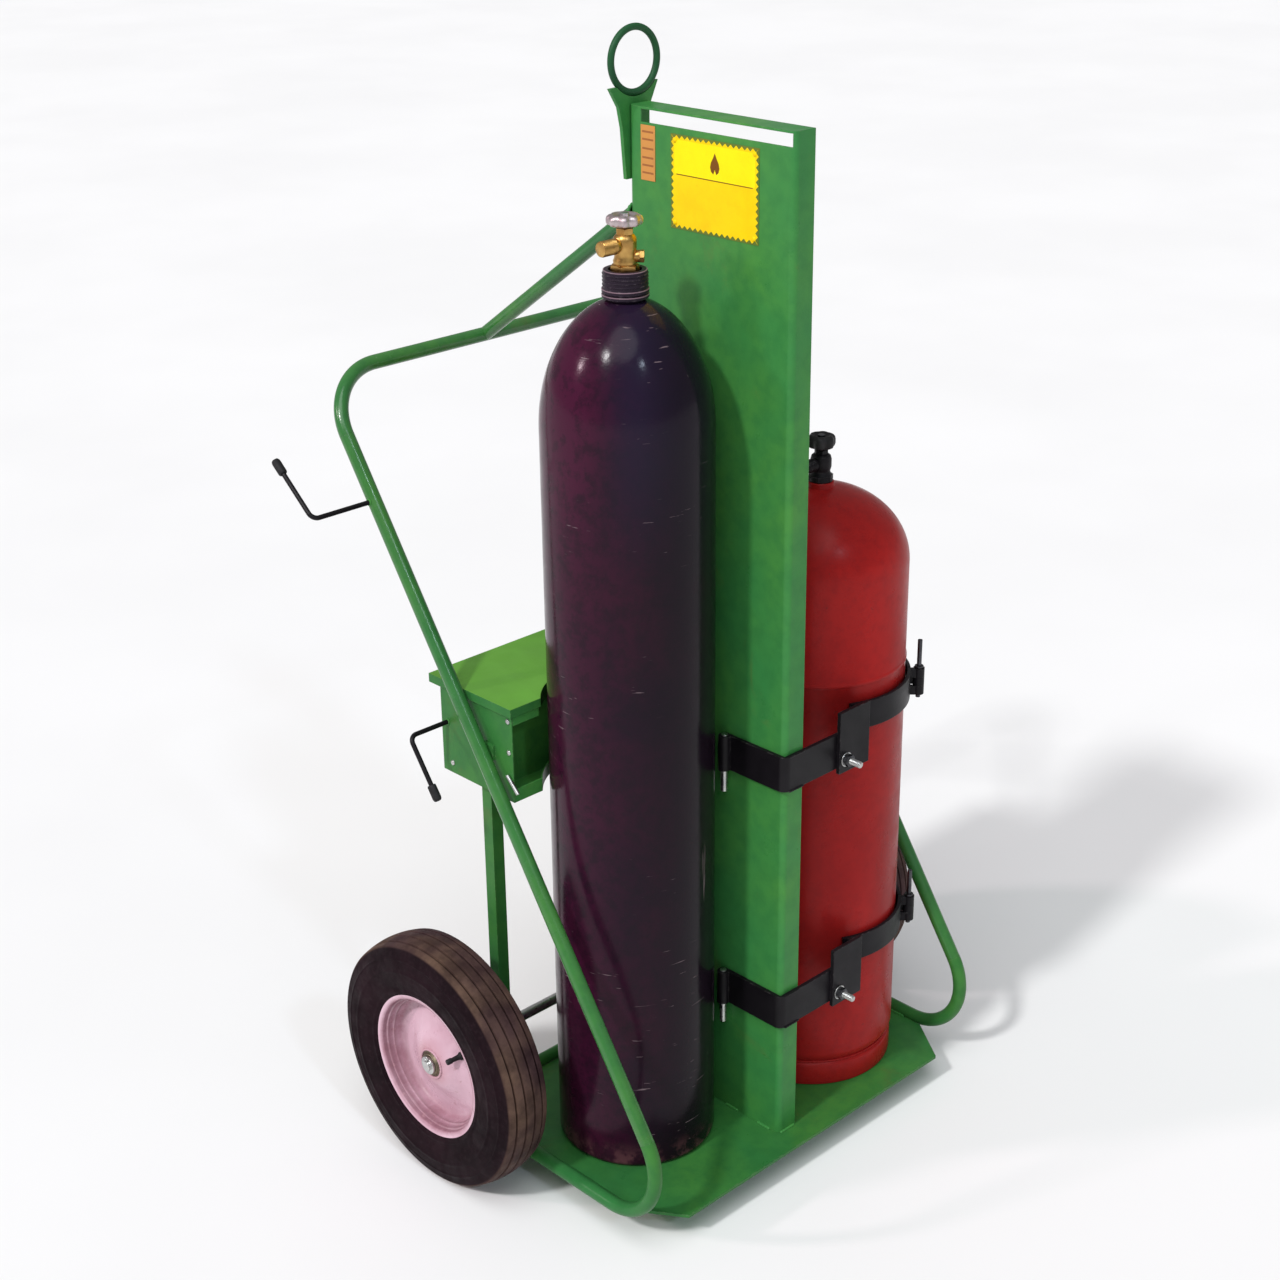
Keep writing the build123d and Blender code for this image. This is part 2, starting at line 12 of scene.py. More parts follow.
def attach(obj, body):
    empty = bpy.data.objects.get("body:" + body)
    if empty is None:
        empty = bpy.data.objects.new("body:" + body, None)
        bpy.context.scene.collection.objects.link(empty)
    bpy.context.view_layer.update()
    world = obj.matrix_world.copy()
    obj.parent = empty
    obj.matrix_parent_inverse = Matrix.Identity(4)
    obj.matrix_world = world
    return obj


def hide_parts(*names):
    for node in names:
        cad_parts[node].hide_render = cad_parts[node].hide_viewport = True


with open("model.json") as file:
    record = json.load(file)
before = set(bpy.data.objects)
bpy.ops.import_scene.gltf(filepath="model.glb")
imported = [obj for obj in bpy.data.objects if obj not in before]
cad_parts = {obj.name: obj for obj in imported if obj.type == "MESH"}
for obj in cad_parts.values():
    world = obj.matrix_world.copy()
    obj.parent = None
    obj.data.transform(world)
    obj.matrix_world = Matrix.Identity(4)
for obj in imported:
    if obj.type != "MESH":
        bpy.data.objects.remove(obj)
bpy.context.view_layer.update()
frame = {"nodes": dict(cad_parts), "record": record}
scene = bpy.context.scene
rng = random.Random(7)

# Places are in millimetres in the row frame: X across the cart, Y front to rear, Z up from the floor.
MM = 0.001
UP = (0, 0, 1)
LEFT = (-1, 0, 0)
RIGHT = (1, 0, 0)
FRONT = (0, -1, 0)
REAR = (0, 1, 0)

# the cylinders' centres in X and Y
OXY = (-176.0, -121.0)
OXY_R = 117.5
FUEL = (173.0, -157.0)
FUEL_R = 132.6
# the base plate, the tubes and the axle
PLATE_TOP = 51.0
TUBE_R = 10.65
RAIL_X = 341.5
WHEEL_X = 408.0
AXLE_Y = 50.0
AXLE_Z = 196.0
AXLE_END = 443.0
# the partition between the cylinders
WALL_LEFT = -49.5
WALL_RIGHT = -12.0
WALL_FRONT = -297.0
# the clamp bands' heights, their hinge pins in X and Y, and their bolts
BANDS = {"upper": 691.0, "lower": 299.0}
PIN = (278.0, -269.0)
BOLT_X = 68.0
BOLT_DROP = 43.0


# ---------------------------------------------------------------- materials


class Nodes:
    """A new node material with a few short ways to add textures to it."""

    def __init__(self, name):
        self.mat = bpy.data.materials.new(name)
        self.mat.use_nodes = True
        self.tree = self.mat.node_tree
        self.bsdf = self.tree.nodes["Principled BSDF"]
        coordinates = self.add("ShaderNodeTexCoord")
        self.coord = coordinates.outputs["Object"]
        self.facing = coordinates.outputs["Normal"]

    def add(self, kind, **values):
        node = self.tree.nodes.new(kind)
        for key, value in values.items():
            if hasattr(node, key):
                setattr(node, key, value)
            else:
                node.inputs[key].default_value = value
        return node

    def link(self, a, b):
        self.tree.links.new(a, b)

    def noise(self, scale, detail=3.0, roughness=0.55, stretch=None, distortion=0.0):
        node = self.add("ShaderNodeTexNoise", Scale=scale, Detail=detail)
        node.inputs["Roughness"].default_value = roughness
        node.inputs["Distortion"].default_value = distortion
        source = self.coord
        if stretch:
            mapping = self.add("ShaderNodeMapping")
            mapping.inputs["Scale"].default_value = stretch
            self.link(self.coord, mapping.inputs["Vector"])
            source = mapping.outputs["Vector"]
        self.link(source, node.inputs["Vector"])
        return node.outputs["Fac"]

    def ramp(self, source, low, high, first=0.0, last=1.0):
        node = self.add("ShaderNodeMapRange", clamp=True)
        node.interpolation_type = "SMOOTHSTEP"
        limits = (("From Min", low), ("From Max", high), ("To Min", first), ("To Max", last))
        for key, value in limits:
            node.inputs[key].default_value = value
        self.link(source, node.inputs["Value"])
        return node.outputs["Result"]

    def math(self, operation, a, b):
        node = self.add("ShaderNodeMath", operation=operation)
        for socket, value in zip(node.inputs, (a, b)):
            if isinstance(value, float):
                socket.default_value = value
            else:
                self.link(value, socket)
        return node.outputs[0]

    def mix(self, factor, a, b):
        node = self.add("ShaderNodeMix", data_type="RGBA")
        for socket, value in ((node.inputs[0], factor), (node.inputs[6], a), (node.inputs[7], b)):
            if isinstance(value, (tuple, list)):
                socket.default_value = (*value, 1.0)
            elif isinstance(value, float):
                socket.default_value = value
            else:
                self.link(value, socket)
        return node.outputs[2]

    def edge(self, radius):
        """1 close to a convex or concave edge, 0 on open faces."""
        bevel = self.add("ShaderNodeBevel", samples=4, Radius=radius)
        geometry = self.add("ShaderNodeNewGeometry")
        dot = self.add("ShaderNodeVectorMath", operation="DOT_PRODUCT")
        self.link(bevel.outputs["Normal"], dot.inputs[0])
        self.link(geometry.outputs["Normal"], dot.inputs[1])
        return self.ramp(dot.outputs["Value"], 0.995, 0.9)

    def axle_radius(self):
        """Distance in metres from the wheels' own axis."""
        parts = self.add("ShaderNodeSeparateXYZ")
        self.link(self.coord, parts.inputs[0])
        y = self.math("SUBTRACT", parts.outputs["Y"], AXLE_Y * MM)
        z = self.math("SUBTRACT", parts.outputs["Z"], AXLE_Z * MM)
        square = self.math("ADD", self.math("MULTIPLY", y, y), self.math("MULTIPLY", z, z))
        return self.math("SQRT", square, 0.0)

    def colour(self, socket):
        self.link(socket, self.bsdf.inputs["Base Color"])

    def rough(self, socket):
        self.link(socket, self.bsdf.inputs["Roughness"])

    def bump(self, height, strength, distance, round_edges=0.0):
        node = self.add("ShaderNodeBump", Strength=strength, Distance=distance)
        self.link(height, node.inputs["Height"])
        if round_edges:
            bevel = self.add("ShaderNodeBevel", samples=4, Radius=round_edges)
            self.link(bevel.outputs["Normal"], node.inputs["Normal"])
        self.link(node.outputs["Normal"], self.bsdf.inputs["Normal"])

    def set(self, **values):
        for key, value in values.items():
            self.bsdf.inputs[key.replace("_", " ")].default_value = value


def painted(name, main, shade, worn, gloss, stain=None, ior=1.32, level=0.36, top=None):
    """Brushed or sprayed enamel: broad tone changes, dust, chipped edges and orange peel.

    stain adds dirty patches, and top is painted top light: a lighter colour given to faces that look up.
    """
    n = Nodes(name)
    broad = n.ramp(n.noise(3.2, 4.0, 0.6, distortion=0.4), 0.32, 0.68)
    fine = n.ramp(n.noise(38.0, 5.0, 0.62), 0.35, 0.72, 0.0, 0.55)
    tone = n.mix(broad, main, shade)
    tone = n.mix(fine, tone, tuple(c * 0.78 for c in main))
    if stain:
        smudge = n.ramp(n.noise(7.5, 7.0, 0.68, distortion=0.8), 0.56, 0.74, 0.0, 0.5)
        tone = n.mix(smudge, tone, stain)
    # painted top light: faces that look up get the lighter top colour
    if top:
        normal = n.add("ShaderNodeSeparateXYZ")
        n.link(n.facing, normal.inputs[0])
        faded_and_lit = n.mix(broad, top, tuple(c * 1.35 for c in top))
        tone = n.mix(n.ramp(normal.outputs["Z"], 0.5, 0.9), tone, faded_and_lit)
    chips = n.ramp(n.noise(150.0, 4.0, 0.7), 0.5, 0.62)
    mask = n.math("MULTIPLY", n.math("MULTIPLY", n.edge(0.0025), chips), 0.6)
    n.colour(n.mix(mask, tone, worn))
    n.rough(n.ramp(n.noise(14.0, 5.0, 0.6), 0.3, 0.75, gloss, gloss + 0.2))
    peel = n.math("ADD", n.noise(420.0, 2.0, 0.5), n.math("MULTIPLY", n.noise(55.0, 3.0, 0.5), 0.8))
    n.bump(peel, 0.16, 0.0006, 0.0014)
    n.set(IOR=ior, Specular_IOR_Level=level)
    return n.mat


def bare_metal(name, main, shade, roughness):
    """Plated, cast or turned metal with faint tarnish."""
    n = Nodes(name)
    tarnish = n.ramp(n.noise(60.0, 5.0, 0.65), 0.3, 0.72)
    n.colour(n.mix(tarnish, main, shade))
    n.rough(n.ramp(n.noise(126.0, 4.0, 0.6), 0.3, 0.75, roughness, roughness + 0.2))
    n.bump(n.noise(540.0, 3.0, 0.6), 0.18, 0.0004, 0.0006)
    n.set(Metallic=1.0)
    return n.mat


def make_green(name, share, gloss, **more):
    """The cart's green; a share below one gives a darker copy of it, painted shade for parts that stand in
    shade.
    """
    tones = [tuple(c * share for c in tone) for tone in ((0.038, 0.218, 0.056), (0.068, 0.262, 0.048))]
    stain = tuple(c * share for c in (0.115, 0.165, 0.040))
    return painted(name, *tones, (0.16, 0.30, 0.12), gloss, stain=stain, **more)


def make_oxygen():
    """Dark purple gloss enamel with scuffs, and painted light: a lit magenta side, a near-black shaded
    side and a violet sky reflection up top.
    """
    n = Nodes("purple_enamel")
    broad = n.ramp(n.noise(5.0, 5.0, 0.62, distortion=0.6), 0.3, 0.7)
    tone = n.mix(broad, (0.028, 0.0050, 0.0155), (0.013, 0.0044, 0.0120))
    mottle = n.ramp(n.noise(46.0, 6.0, 0.7), 0.36, 0.7)
    tone = n.mix(n.math("MULTIPLY", mottle, 0.55), tone, (0.0075, 0.0055, 0.0095))
    # painted light across the cylinder: across runs from the lit side (negative) to the shaded side
    # (positive)
    place = n.add("ShaderNodeSeparateXYZ")
    n.link(n.coord, place.inputs[0])
    across = n.math("MULTIPLY", n.math("SUBTRACT", place.outputs["X"], OXY[0] * MM), 0.72)
    along = n.math("MULTIPLY", n.math("SUBTRACT", place.outputs["Y"], OXY[1] * MM), 0.69)
    across = n.math("SUBTRACT", across, along)
    upper = n.ramp(place.outputs["Z"], 0.95, 1.22)
    # painted light: the side towards the key light is painted brighter magenta, more so near the top
    faded_and_lit = n.math("MULTIPLY", n.ramp(across, 0.01, -0.095, 0.0, 0.8), n.math("ADD", upper, 0.75))
    faded_and_lit = n.math("MULTIPLY", faded_and_lit, n.ramp(mottle, 1.0, 0.0, 0.35, 1.0))
    tone = n.mix(faded_and_lit, tone, (0.050, 0.0066, 0.0250))
    # painted reflection of the sky: violet on the upper shoulder, away from the lit side
    sky_reflection = n.math("MULTIPLY", upper, n.ramp(across, -0.05, 0.03, 0.0, 0.65))
    tone = n.mix(sky_reflection, tone, (0.017, 0.0125, 0.038))
    # painted shade: the side away from the key light is painted near-black
    tone = n.mix(n.ramp(across, -0.02, 0.085, 0.0, 0.8), tone, (0.0066, 0.0043, 0.0078))
    long_marks = n.ramp(n.noise(26.0, 3.0, 0.5, (1.0, 1.0, 14.0), 0.3), 0.69, 0.73)
    patches = n.ramp(n.noise(7.0, 2.0, 0.5), 0.52, 0.62)
    marks = n.math("MULTIPLY", long_marks, patches)
    down = n.ramp(n.noise(70.0, 3.0, 0.5, (1.0, 1.0, 0.06), 0.2), 0.70, 0.74)
    low = n.ramp(n.noise(4.0, 2.0, 0.5), 0.56, 0.66)
    marks = n.math("MAXIMUM", marks, n.math("MULTIPLY", down, low))
    tone = n.mix(n.math("MULTIPLY", marks, 0.5), tone, (0.30, 0.22, 0.24))
    worn = n.ramp(n.noise(34.0, 4.0, 0.6), 0.42, 0.62)
    foot = n.math("MULTIPLY", n.ramp(place.outputs["Z"], 0.100, 0.058), worn)
    n.colour(n.mix(n.math("MULTIPLY", foot, 0.8), tone, (0.13, 0.050, 0.060)))
    n.rough(n.ramp(n.noise(30.0, 6.0, 0.7), 0.3, 0.75, 0.13, 0.25))
    ripple = n.math("ADD", n.noise(260.0, 2.0, 0.5), n.math("MULTIPLY", n.noise(24.0, 3.0, 0.5), 1.3))
    n.bump(n.math("SUBTRACT", ripple, n.math("MULTIPLY", marks, 0.6)), 0.12, 0.0006)
    n.set(IOR=1.27, Specular_IOR_Level=0.36)
    return n.mat


def make_fuel():
    """Bright red enamel with a fine mottle and a few dark specks."""
    n = Nodes("red_enamel")
    broad = n.ramp(n.noise(4.0, 4.0, 0.6, distortion=0.4), 0.32, 0.68)
    tone = n.mix(broad, (0.300, 0.0115, 0.0115), (0.370, 0.0150, 0.0140))
    mottle = n.ramp(n.noise(70.0, 6.0, 0.68), 0.4, 0.72)
    tone = n.mix(n.math("MULTIPLY", mottle, 0.4), tone, (0.205, 0.010, 0.012))
    spots = n.ramp(n.noise(120.0, 2.0, 0.5), 0.71, 0.76)
    n.colour(n.mix(n.math("MULTIPLY", spots, 0.35), tone, (0.05, 0.02, 0.02)))
    n.rough(n.ramp(n.noise(18.0, 5.0, 0.65), 0.3, 0.75, 0.24, 0.42))
    n.bump(n.noise(300.0, 3.0, 0.5), 0.2, 0.0006)
    n.set(IOR=1.28, Specular_IOR_Level=0.26)
    return n.mat


def make_tyre():
    """Black rubber, dusty brown on the tread ribs, with fine moulding grain."""
    n = Nodes("tyre_rubber")
    tread = n.ramp(n.axle_radius(), 0.1865, 0.1915)
    dust = n.ramp(n.noise(22.0, 5.0, 0.65), 0.3, 0.7, 0.35, 1.0)
    side = n.ramp(n.noise(9.0, 5.0, 0.6), 0.35, 0.75)
    rubber = n.mix(side, (0.0070, 0.0030, 0.0046), (0.0165, 0.0068, 0.0102))
    rubber = n.mix(n.ramp(n.noise(130.0, 4.0, 0.6), 0.45, 0.8, 0.0, 0.4), rubber, (0.030, 0.017, 0.021))
    worn = n.ramp(n.noise(7.0, 3.0, 0.5), 0.38, 0.66)
    dusty = n.mix(worn, (0.066, 0.036, 0.038), (0.150, 0.092, 0.064))
    n.colour(n.mix(n.math("MULTIPLY", tread, dust), rubber, dusty))
    n.rough(n.ramp(n.noise(45.0, 4.0, 0.6), 0.3, 0.75, 0.5, 0.75))
    grain = n.math("ADD", n.noise(900.0, 2.0, 0.5), n.math("MULTIPLY", n.noise(130.0, 4.0, 0.6), 1.1))
    n.bump(grain, 0.35, 0.0006)
    n.set(IOR=1.3, Specular_IOR_Level=0.12)
    return n.mat


def make_rim():
    """Pale enamel with painted shade in the well of the rim and in thin lines at its steps, and darker
    round the hub.
    """
    n = Nodes("rim_enamel")
    broad = n.ramp(n.noise(11.0, 4.0, 0.6, distortion=0.5), 0.32, 0.68)
    tone = n.mix(broad, (0.66, 0.455, 0.535), (0.53, 0.325, 0.395))
    radius = n.axle_radius()
    patchiness = n.ramp(n.noise(32.0, 5.0, 0.65), 0.3, 0.72, 0.5, 1.0)
    # painted shade under the lip, in the well of the rim, broken up by the patchy noise
    well = n.math("MULTIPLY", n.ramp(radius, 0.082, 0.099), n.ramp(radius, 0.112, 0.105))
    tone = n.mix(n.math("MULTIPLY", n.math("MULTIPLY", well, patchiness), 0.9), tone, (0.27, 0.118, 0.150))
    # painted shade: thin dark lines in the creases at the rim's steps
    for crease in (0.0980, 0.1016, 0.1048):
        line = n.math("ABSOLUTE", n.math("SUBTRACT", radius, crease), 0.0)
        tone = n.mix(n.ramp(line, 0.0010, 0.0003, 0.0, 0.55), tone, (0.16, 0.065, 0.085))
    near = n.math("MULTIPLY", n.ramp(radius, 0.046, 0.022), patchiness)
    tone = n.mix(n.math("MULTIPLY", near, 0.75), tone, (0.42, 0.20, 0.23))
    spots = n.ramp(n.noise(90.0, 4.0, 0.6), 0.62, 0.70, 0.0, 0.6)
    n.colour(n.mix(spots, tone, (0.40, 0.22, 0.25)))
    n.rough(n.ramp(n.noise(26.0, 5.0, 0.6), 0.3, 0.75, 0.22, 0.42))
    n.bump(n.noise(240.0, 3.0, 0.5), 0.18, 0.0006)
    n.set(IOR=1.38, Specular_IOR_Level=0.42)
    return n.mat


def make_rubber(name, tone):
    """Dull black rubber or plastic."""
    n = Nodes(name)
    patch = n.ramp(n.noise(60.0, 4.0, 0.6), 0.35, 0.7)
    n.colour(n.mix(patch, tone, tuple(c * 1.9 for c in tone)))
    n.rough(n.ramp(n.noise(90.0, 4.0, 0.6), 0.3, 0.75, 0.45, 0.7))
    n.bump(n.noise(600.0, 3.0, 0.5), 0.25, 0.0005)
    n.set(IOR=1.4, Specular_IOR_Level=0.3)
    return n.mat


def make_label(name, tone, faded_and_lit, spot):
    """Printed vinyl with uneven fading, over the sheet's own slight waviness."""
    n = Nodes(name)
    fade = n.ramp(n.noise(20.0, 4.0, 0.6), 0.35, 0.72)
    base = n.mix(fade, tone, faded_and_lit)
    dirt = n.ramp(n.noise(240.0, 5.0, 0.65), 0.56, 0.78, 0.0, 0.4)
    n.colour(n.mix(dirt, base, spot))
    n.rough(n.ramp(n.noise(60.0, 4.0, 0.6), 0.3, 0.75, 0.28, 0.46))
    n.bump(n.noise(34.0, 3.0, 0.5), 0.12, 0.0008)
    n.set(IOR=1.35, Specular_IOR_Level=0.2)
    return n.mat


def make_floor():
    """A plain pale studio floor."""
    n = Nodes("studio_floor")
    soft = n.ramp(n.noise(0.8, 3.0, 0.5), 0.3, 0.7)
    n.colour(n.mix(soft, (0.85, 0.85, 0.845), (0.88, 0.88, 0.875)))
    n.rough(n.ramp(n.noise(5.0, 3.0, 0.5), 0.3, 0.7, 0.75, 0.9))
    n.bump(n.noise(160.0, 3.0, 0.5), 0.04, 0.0005)
    n.set(Specular_IOR_Level=0.1)
    return n.mat


GREEN = make_green("green_enamel", 1.0, 0.27)
# darker copies of the green are painted shade: the tubes, and the toolbox, rear posts, base plate and
# rails
TUBE_GREEN = make_green("tube_enamel", 0.70, 0.13, ior=1.48, level=0.5)
SHADED_GREEN = make_green("shaded_green_enamel", 0.72, 0.27)
BLACK = painted(
    "black_enamel", (0.0052, 0.0042, 0.0056), (0.0105, 0.0088, 0.0112), (0.09, 0.08, 0.08), 0.34
)
# the lid: painted top light on its up-facing faces, and painted shade from its lower share on its sides
LID_GREEN = make_green("lid_enamel", 0.72, 0.38, top=(0.105, 0.290, 0.036))
EYE_GREEN = painted(
    "eye_enamel", (0.014, 0.075, 0.030), (0.022, 0.105, 0.034), (0.10, 0.13, 0.10), 0.34
)
DARK_PIN = bare_metal("oiled_steel", (0.10, 0.10, 0.11), (0.05, 0.05, 0.055), 0.35)
ZINC = bare_metal("zinc_plate", (0.62, 0.62, 0.60), (0.42, 0.42, 0.43), 0.26)
BRASS = bare_metal("forged_brass", (0.62, 0.38, 0.12), (0.40, 0.22, 0.07), 0.28)
GRIP = bare_metal("cast_alloy", (0.66, 0.56, 0.57), (0.46, 0.38, 0.40), 0.36)
HUB = bare_metal("greasy_steel", (0.23, 0.19, 0.13), (0.09, 0.075, 0.06), 0.4)
RIM = make_rim()
# pale enamel for the painted highlight along the neck collar's edges
NECK_HIGHLIGHT = painted("neck_highlight", (0.26, 0.17, 0.21), (0.17, 0.10, 0.13), (0.30, 0.24, 0.26), 0.3)
NECK = painted("neck_enamel", (0.014, 0.009, 0.018), (0.026, 0.014, 0.026), (0.16, 0.13, 0.15), 0.3)
OXYGEN = make_oxygen()
FUEL_RED = make_fuel()
TYRE = make_tyre()
TIP = make_rubber("tip_rubber", (0.012, 0.012, 0.013))
GRIP_BLACK = make_rubber("grip_black", (0.014, 0.013, 0.014))
YELLOW = make_label("label_yellow", (0.92, 0.66, 0.004), (0.90, 0.58, 0.003), (0.66, 0.44, 0.01))
YELLOW_TOP = make_label("label_yellow_top", (0.93, 0.80, 0.004), (0.92, 0.74, 0.003), (0.72, 0.52, 0.01))
LABEL_EDGE = make_label("label_edge", (0.10, 0.17, 0.03), (0.17, 0.19, 0.03), (0.05, 0.07, 0.02))
LABEL_INK = make_label("label_ink", (0.16, 0.06, 0.008), (0.24, 0.09, 0.01), (0.08, 0.03, 0.01))
ORANGE = make_label("label_orange", (0.60, 0.27, 0.07), (0.48, 0.24, 0.075), (0.70, 0.20, 0.05))
ORANGE_LINE = make_label("label_orange_line", (0.34, 0.13, 0.04), (0.28, 0.11, 0.035), (0.2, 0.08, 0.03))

SLOT_MATERIAL = {
    "green_paint": GREEN,
    "black_steel": BLACK,
    "dark_pin": DARK_PIN,
    "zinc": ZINC,
    "rubber_tip": TIP,
    "tyre": TYRE,
    "rim_paint": RIM,
    "hub_metal": HUB,
    "oxygen_paint": OXYGEN,
    "dark_neck": NECK,
    "valve_brass": BRASS,
    "grip_metal": GRIP,
    "fuel_paint": FUEL_RED,
    "black_valve": BLACK,
    "black_grip": GRIP_BLACK,
    "label_yellow": YELLOW,
    "label_orange": ORANGE,
}
for part in frame["record"]["subparts"]:
    node = frame["nodes"][part["node"]]
    node.data.materials.clear()
    node.data.materials.append(SLOT_MATERIAL[part["material_slot"]])
frame["nodes"]["lifting_eye"].data.materials[0] = EYE_GREEN
frame["nodes"]["toolbox_lid"].data.materials[0] = LID_GREEN
# the tubes and the toolbox, base plate, rear posts and rails get the darker copies: painted shade
for name, node in frame["nodes"].items():
    if name.startswith(("side_tube", "handle_")):
        node.data.materials[0] = TUBE_GREEN
    elif name in ("toolbox", "base_plate") or name.startswith(("rear_", "base_rail")):
        node.data.materials[0] = SHADED_GREEN


# ---------------------------------------------------------------- mesh helpers


def add_mesh(name, verts, faces, material, body, sharp=32.0):
    """A new piece from points in millimetres."""
    mesh = bpy.data.meshes.new(name)
    mesh.from_pydata([tuple(c * MM for c in v) for v in verts], [], faces)
    bm = bmesh.new()
    bm.from_mesh(mesh)
    bmesh.ops.recalc_face_normals(bm, faces=bm.faces)
    bm.to_mesh(mesh)
    bm.free()
    mesh.shade_smooth()
    mesh.set_sharp_from_angle(angle=math.radians(sharp))
    mesh.materials.append(material)
    obj = bpy.data.objects.new(name, mesh)
    scene.collection.objects.link(obj)
    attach(obj, body)
    return obj


def basis(axis):
    """Two directions square to an axis, and the axis, all of length one."""
    w = Vector(axis).normalized()
    helper = Vector(UP) if abs(w.z) < 0.9 else Vector(RIGHT)
    u = helper.cross(w).normalized()
    return u, w.cross(u), w


def grid_faces(rows, columns, close_rows, close_columns):
    """Quads over a grid of points, wrapped round where asked."""
    faces = []
    for i in range(rows if close_rows else rows - 1):
        for j in range(columns if close_columns else columns - 1):
            a, b = i, (i + 1) % rows
            c, d = j, (j + 1) % columns
            faces.append((a * columns + c, a * columns + d, b * columns + d, b * columns + c))
    return faces


def turned(name, profile, origin, axis, material, body, slot=None, sides=96, closed=False, wobble=None):
    """A lathe shape: profile holds (radius, height) pairs; wobble changes the radius with the angle."""
    u, v, w = basis(axis)
    origin = Vector(origin)
    verts = []
    for r, h in profile:
        for j in range(sides):
            a = 2 * math.pi * j / sides
            rr = wobble(r, h, a) if wobble else r
            verts.append(origin + w * h + (u * math.cos(a) + v * math.sin(a)) * rr)
    faces = grid_faces(len(profile), sides, closed, True)
    if not closed:
        faces.append(tuple(range(sides)))
        last = (len(profile) - 1) * sides
        faces.append(tuple(range(last + sides - 1, last - 1, -1)))
    return add_mesh(name, verts, faces, material, body)


def hex_piece(name, origin, axis, across, height, material, body, slot=None, bore=0.0, turn=0.0):
    """A hexagon nut or bolt head with both faces chamfered to a circle."""
    chamfer = across * 0.97
    bore = bore or 0.01

    def outline(a):
        b = (a - turn) % (math.pi / 3) - math.pi / 6
        return across / math.cos(b)

    u, v, w = basis(axis)
    origin = Vector(origin)
    sides = 72
    verts = []
    for kind in range(6):
        for j in range(sides):
            a = 2 * math.pi * j / sides
            out = outline(a)
            drop = max(0.0, out - chamfer) * 0.6
            r, h = (
                (bore, 0.0),
                (min(out, chamfer), 0.0),
                (out, drop),
                (out, height - drop),
                (min(out, chamfer), height),
                (bore, height),
            )[kind]
            verts.append(origin + w * h + (u * math.cos(a) + v * math.sin(a)) * r)
    faces = grid_faces(6, sides, True, True)
    return add_mesh(name, verts, faces, material, body, sharp=20)


def threaded(name, origin, axis, radius, length, pitch, material, body, slot=None):
    """A screw thread: a helical ridge on a rod, with a chamfered free end."""
    sides = 24
    rows = max(8, int(length / pitch * 6))
    u, v, w = basis(axis)
    origin = Vector(origin)
    depth = pitch * 0.42
    verts = []
    for i in range(rows + 1):
        h = length * i / rows
        end = min(1.0, (length - h) / (pitch * 0.8))
        for j in range(sides):
            a = 2 * math.pi * j / sides
            phase = (h / pitch - j / sides) % 1.0
            r = radius - depth * abs(2 * phase - 1) - (1 - end) * pitch * 0.5
            verts.append(origin + w * h + (u * math.cos(a) + v * math.sin(a)) * r)
    faces = grid_faces(rows + 1, sides, False, True)
    faces.append(tuple(range(sides)))
    faces.append(tuple(range((rows + 1) * sides - 1, rows * sides - 1, -1)))
    return add_mesh(name, verts, faces, material, body, sharp=50)


def resample(points, step, closed):
    """Points a fixed step apart along straight runs."""
    pts = [Vector(p) for p in points]
    if closed:
        pts.append(pts[0])
    out = []
    for a, b in zip(pts, pts[1:]):
        count = max(1, round((b - a).length / step))
        out += [a.lerp(b, i / count) for i in range(count)]
    if not closed:
        out.append(pts[-1])
    return out


def carried(name, points, radius, material, body, sides=12, closed=False, ripple=0.0, step=None):
    """A round section carried along points; ripple gives the scales of a weld bead."""
    pts = resample(points, step, closed) if step else [Vector(p) for p in points]
    count = len(pts)
    verts = []
    previous = None
    for i, p in enumerate(pts):
        if closed:
            way = (pts[(i + 1) % count] - pts[i - 1]).normalized()
        else:
            way = (pts[min(i + 1, count - 1)] - pts[max(i - 1, 0)]).normalized()
        if previous is None:
            u = basis(way)[0]
        else:
            u = (previous - way * previous.dot(way)).normalized()
        previous = u
        v = way.cross(u)
        r = radius
        if ripple:
            r *= 1 + ripple * (abs(math.sin(i * 0.9)) - 0.5) + rng.uniform(-0.06, 0.06)
        if not closed and i in (0, count - 1):
            r *= 0.45
        elif not closed and i in (1, count - 2):
            r *= 0.85
        for j in range(sides):
            a = 2 * math.pi * j / sides
            verts.append(p + (u * math.cos(a) + v * math.sin(a)) * r)
    faces = grid_faces(count, sides, closed, True)
    if not closed:
        faces.append(tuple(range(sides)))
        faces.append(tuple(range(count * sides - 1, (count - 1) * sides - 1, -1)))
    return add_mesh(name, verts, faces, material, body, sharp=60)


def weld(name, points, radius, body="cart", closed=False, material=GREEN):
    """A painted weld bead along points."""
    carried(name, points, radius, material, body, 10, closed, ripple=0.35, step=1.5)


def plate(name, outline, thickness, frame_of, material, body, slot=None, bevel=0.0):
    """A flat outline in two directions given thickness along a third; bevel eases its edges."""
    origin, du, dv, dn = (Vector(x) for x in frame_of)
    count = len(outline)
    verts = [origin + du * a + dv * b for a, b in outline]
    verts += [origin + du * a + dv * b + dn * thickness for a, b in outline]
    faces = [tuple(range(count - 1, -1, -1)), tuple(range(count, 2 * count))]
    faces += [(i, (i + 1) % count, count + (i + 1) % count, count + i) for i in range(count)]
    obj = add_mesh(name, verts, faces, material, body, sharp=30)
    if bevel:
        bm = bmesh.new()
        bm.from_mesh(obj.data)
        rims = [e for e in bm.edges if len(e.link_faces) == 2 and e.calc_face_angle() > 0.6]
        bmesh.ops.bevel(bm, geom=rims, offset=bevel * MM, segments=2, affect="EDGES")
        bm.to_mesh(obj.data)
        bm.free()
    return obj


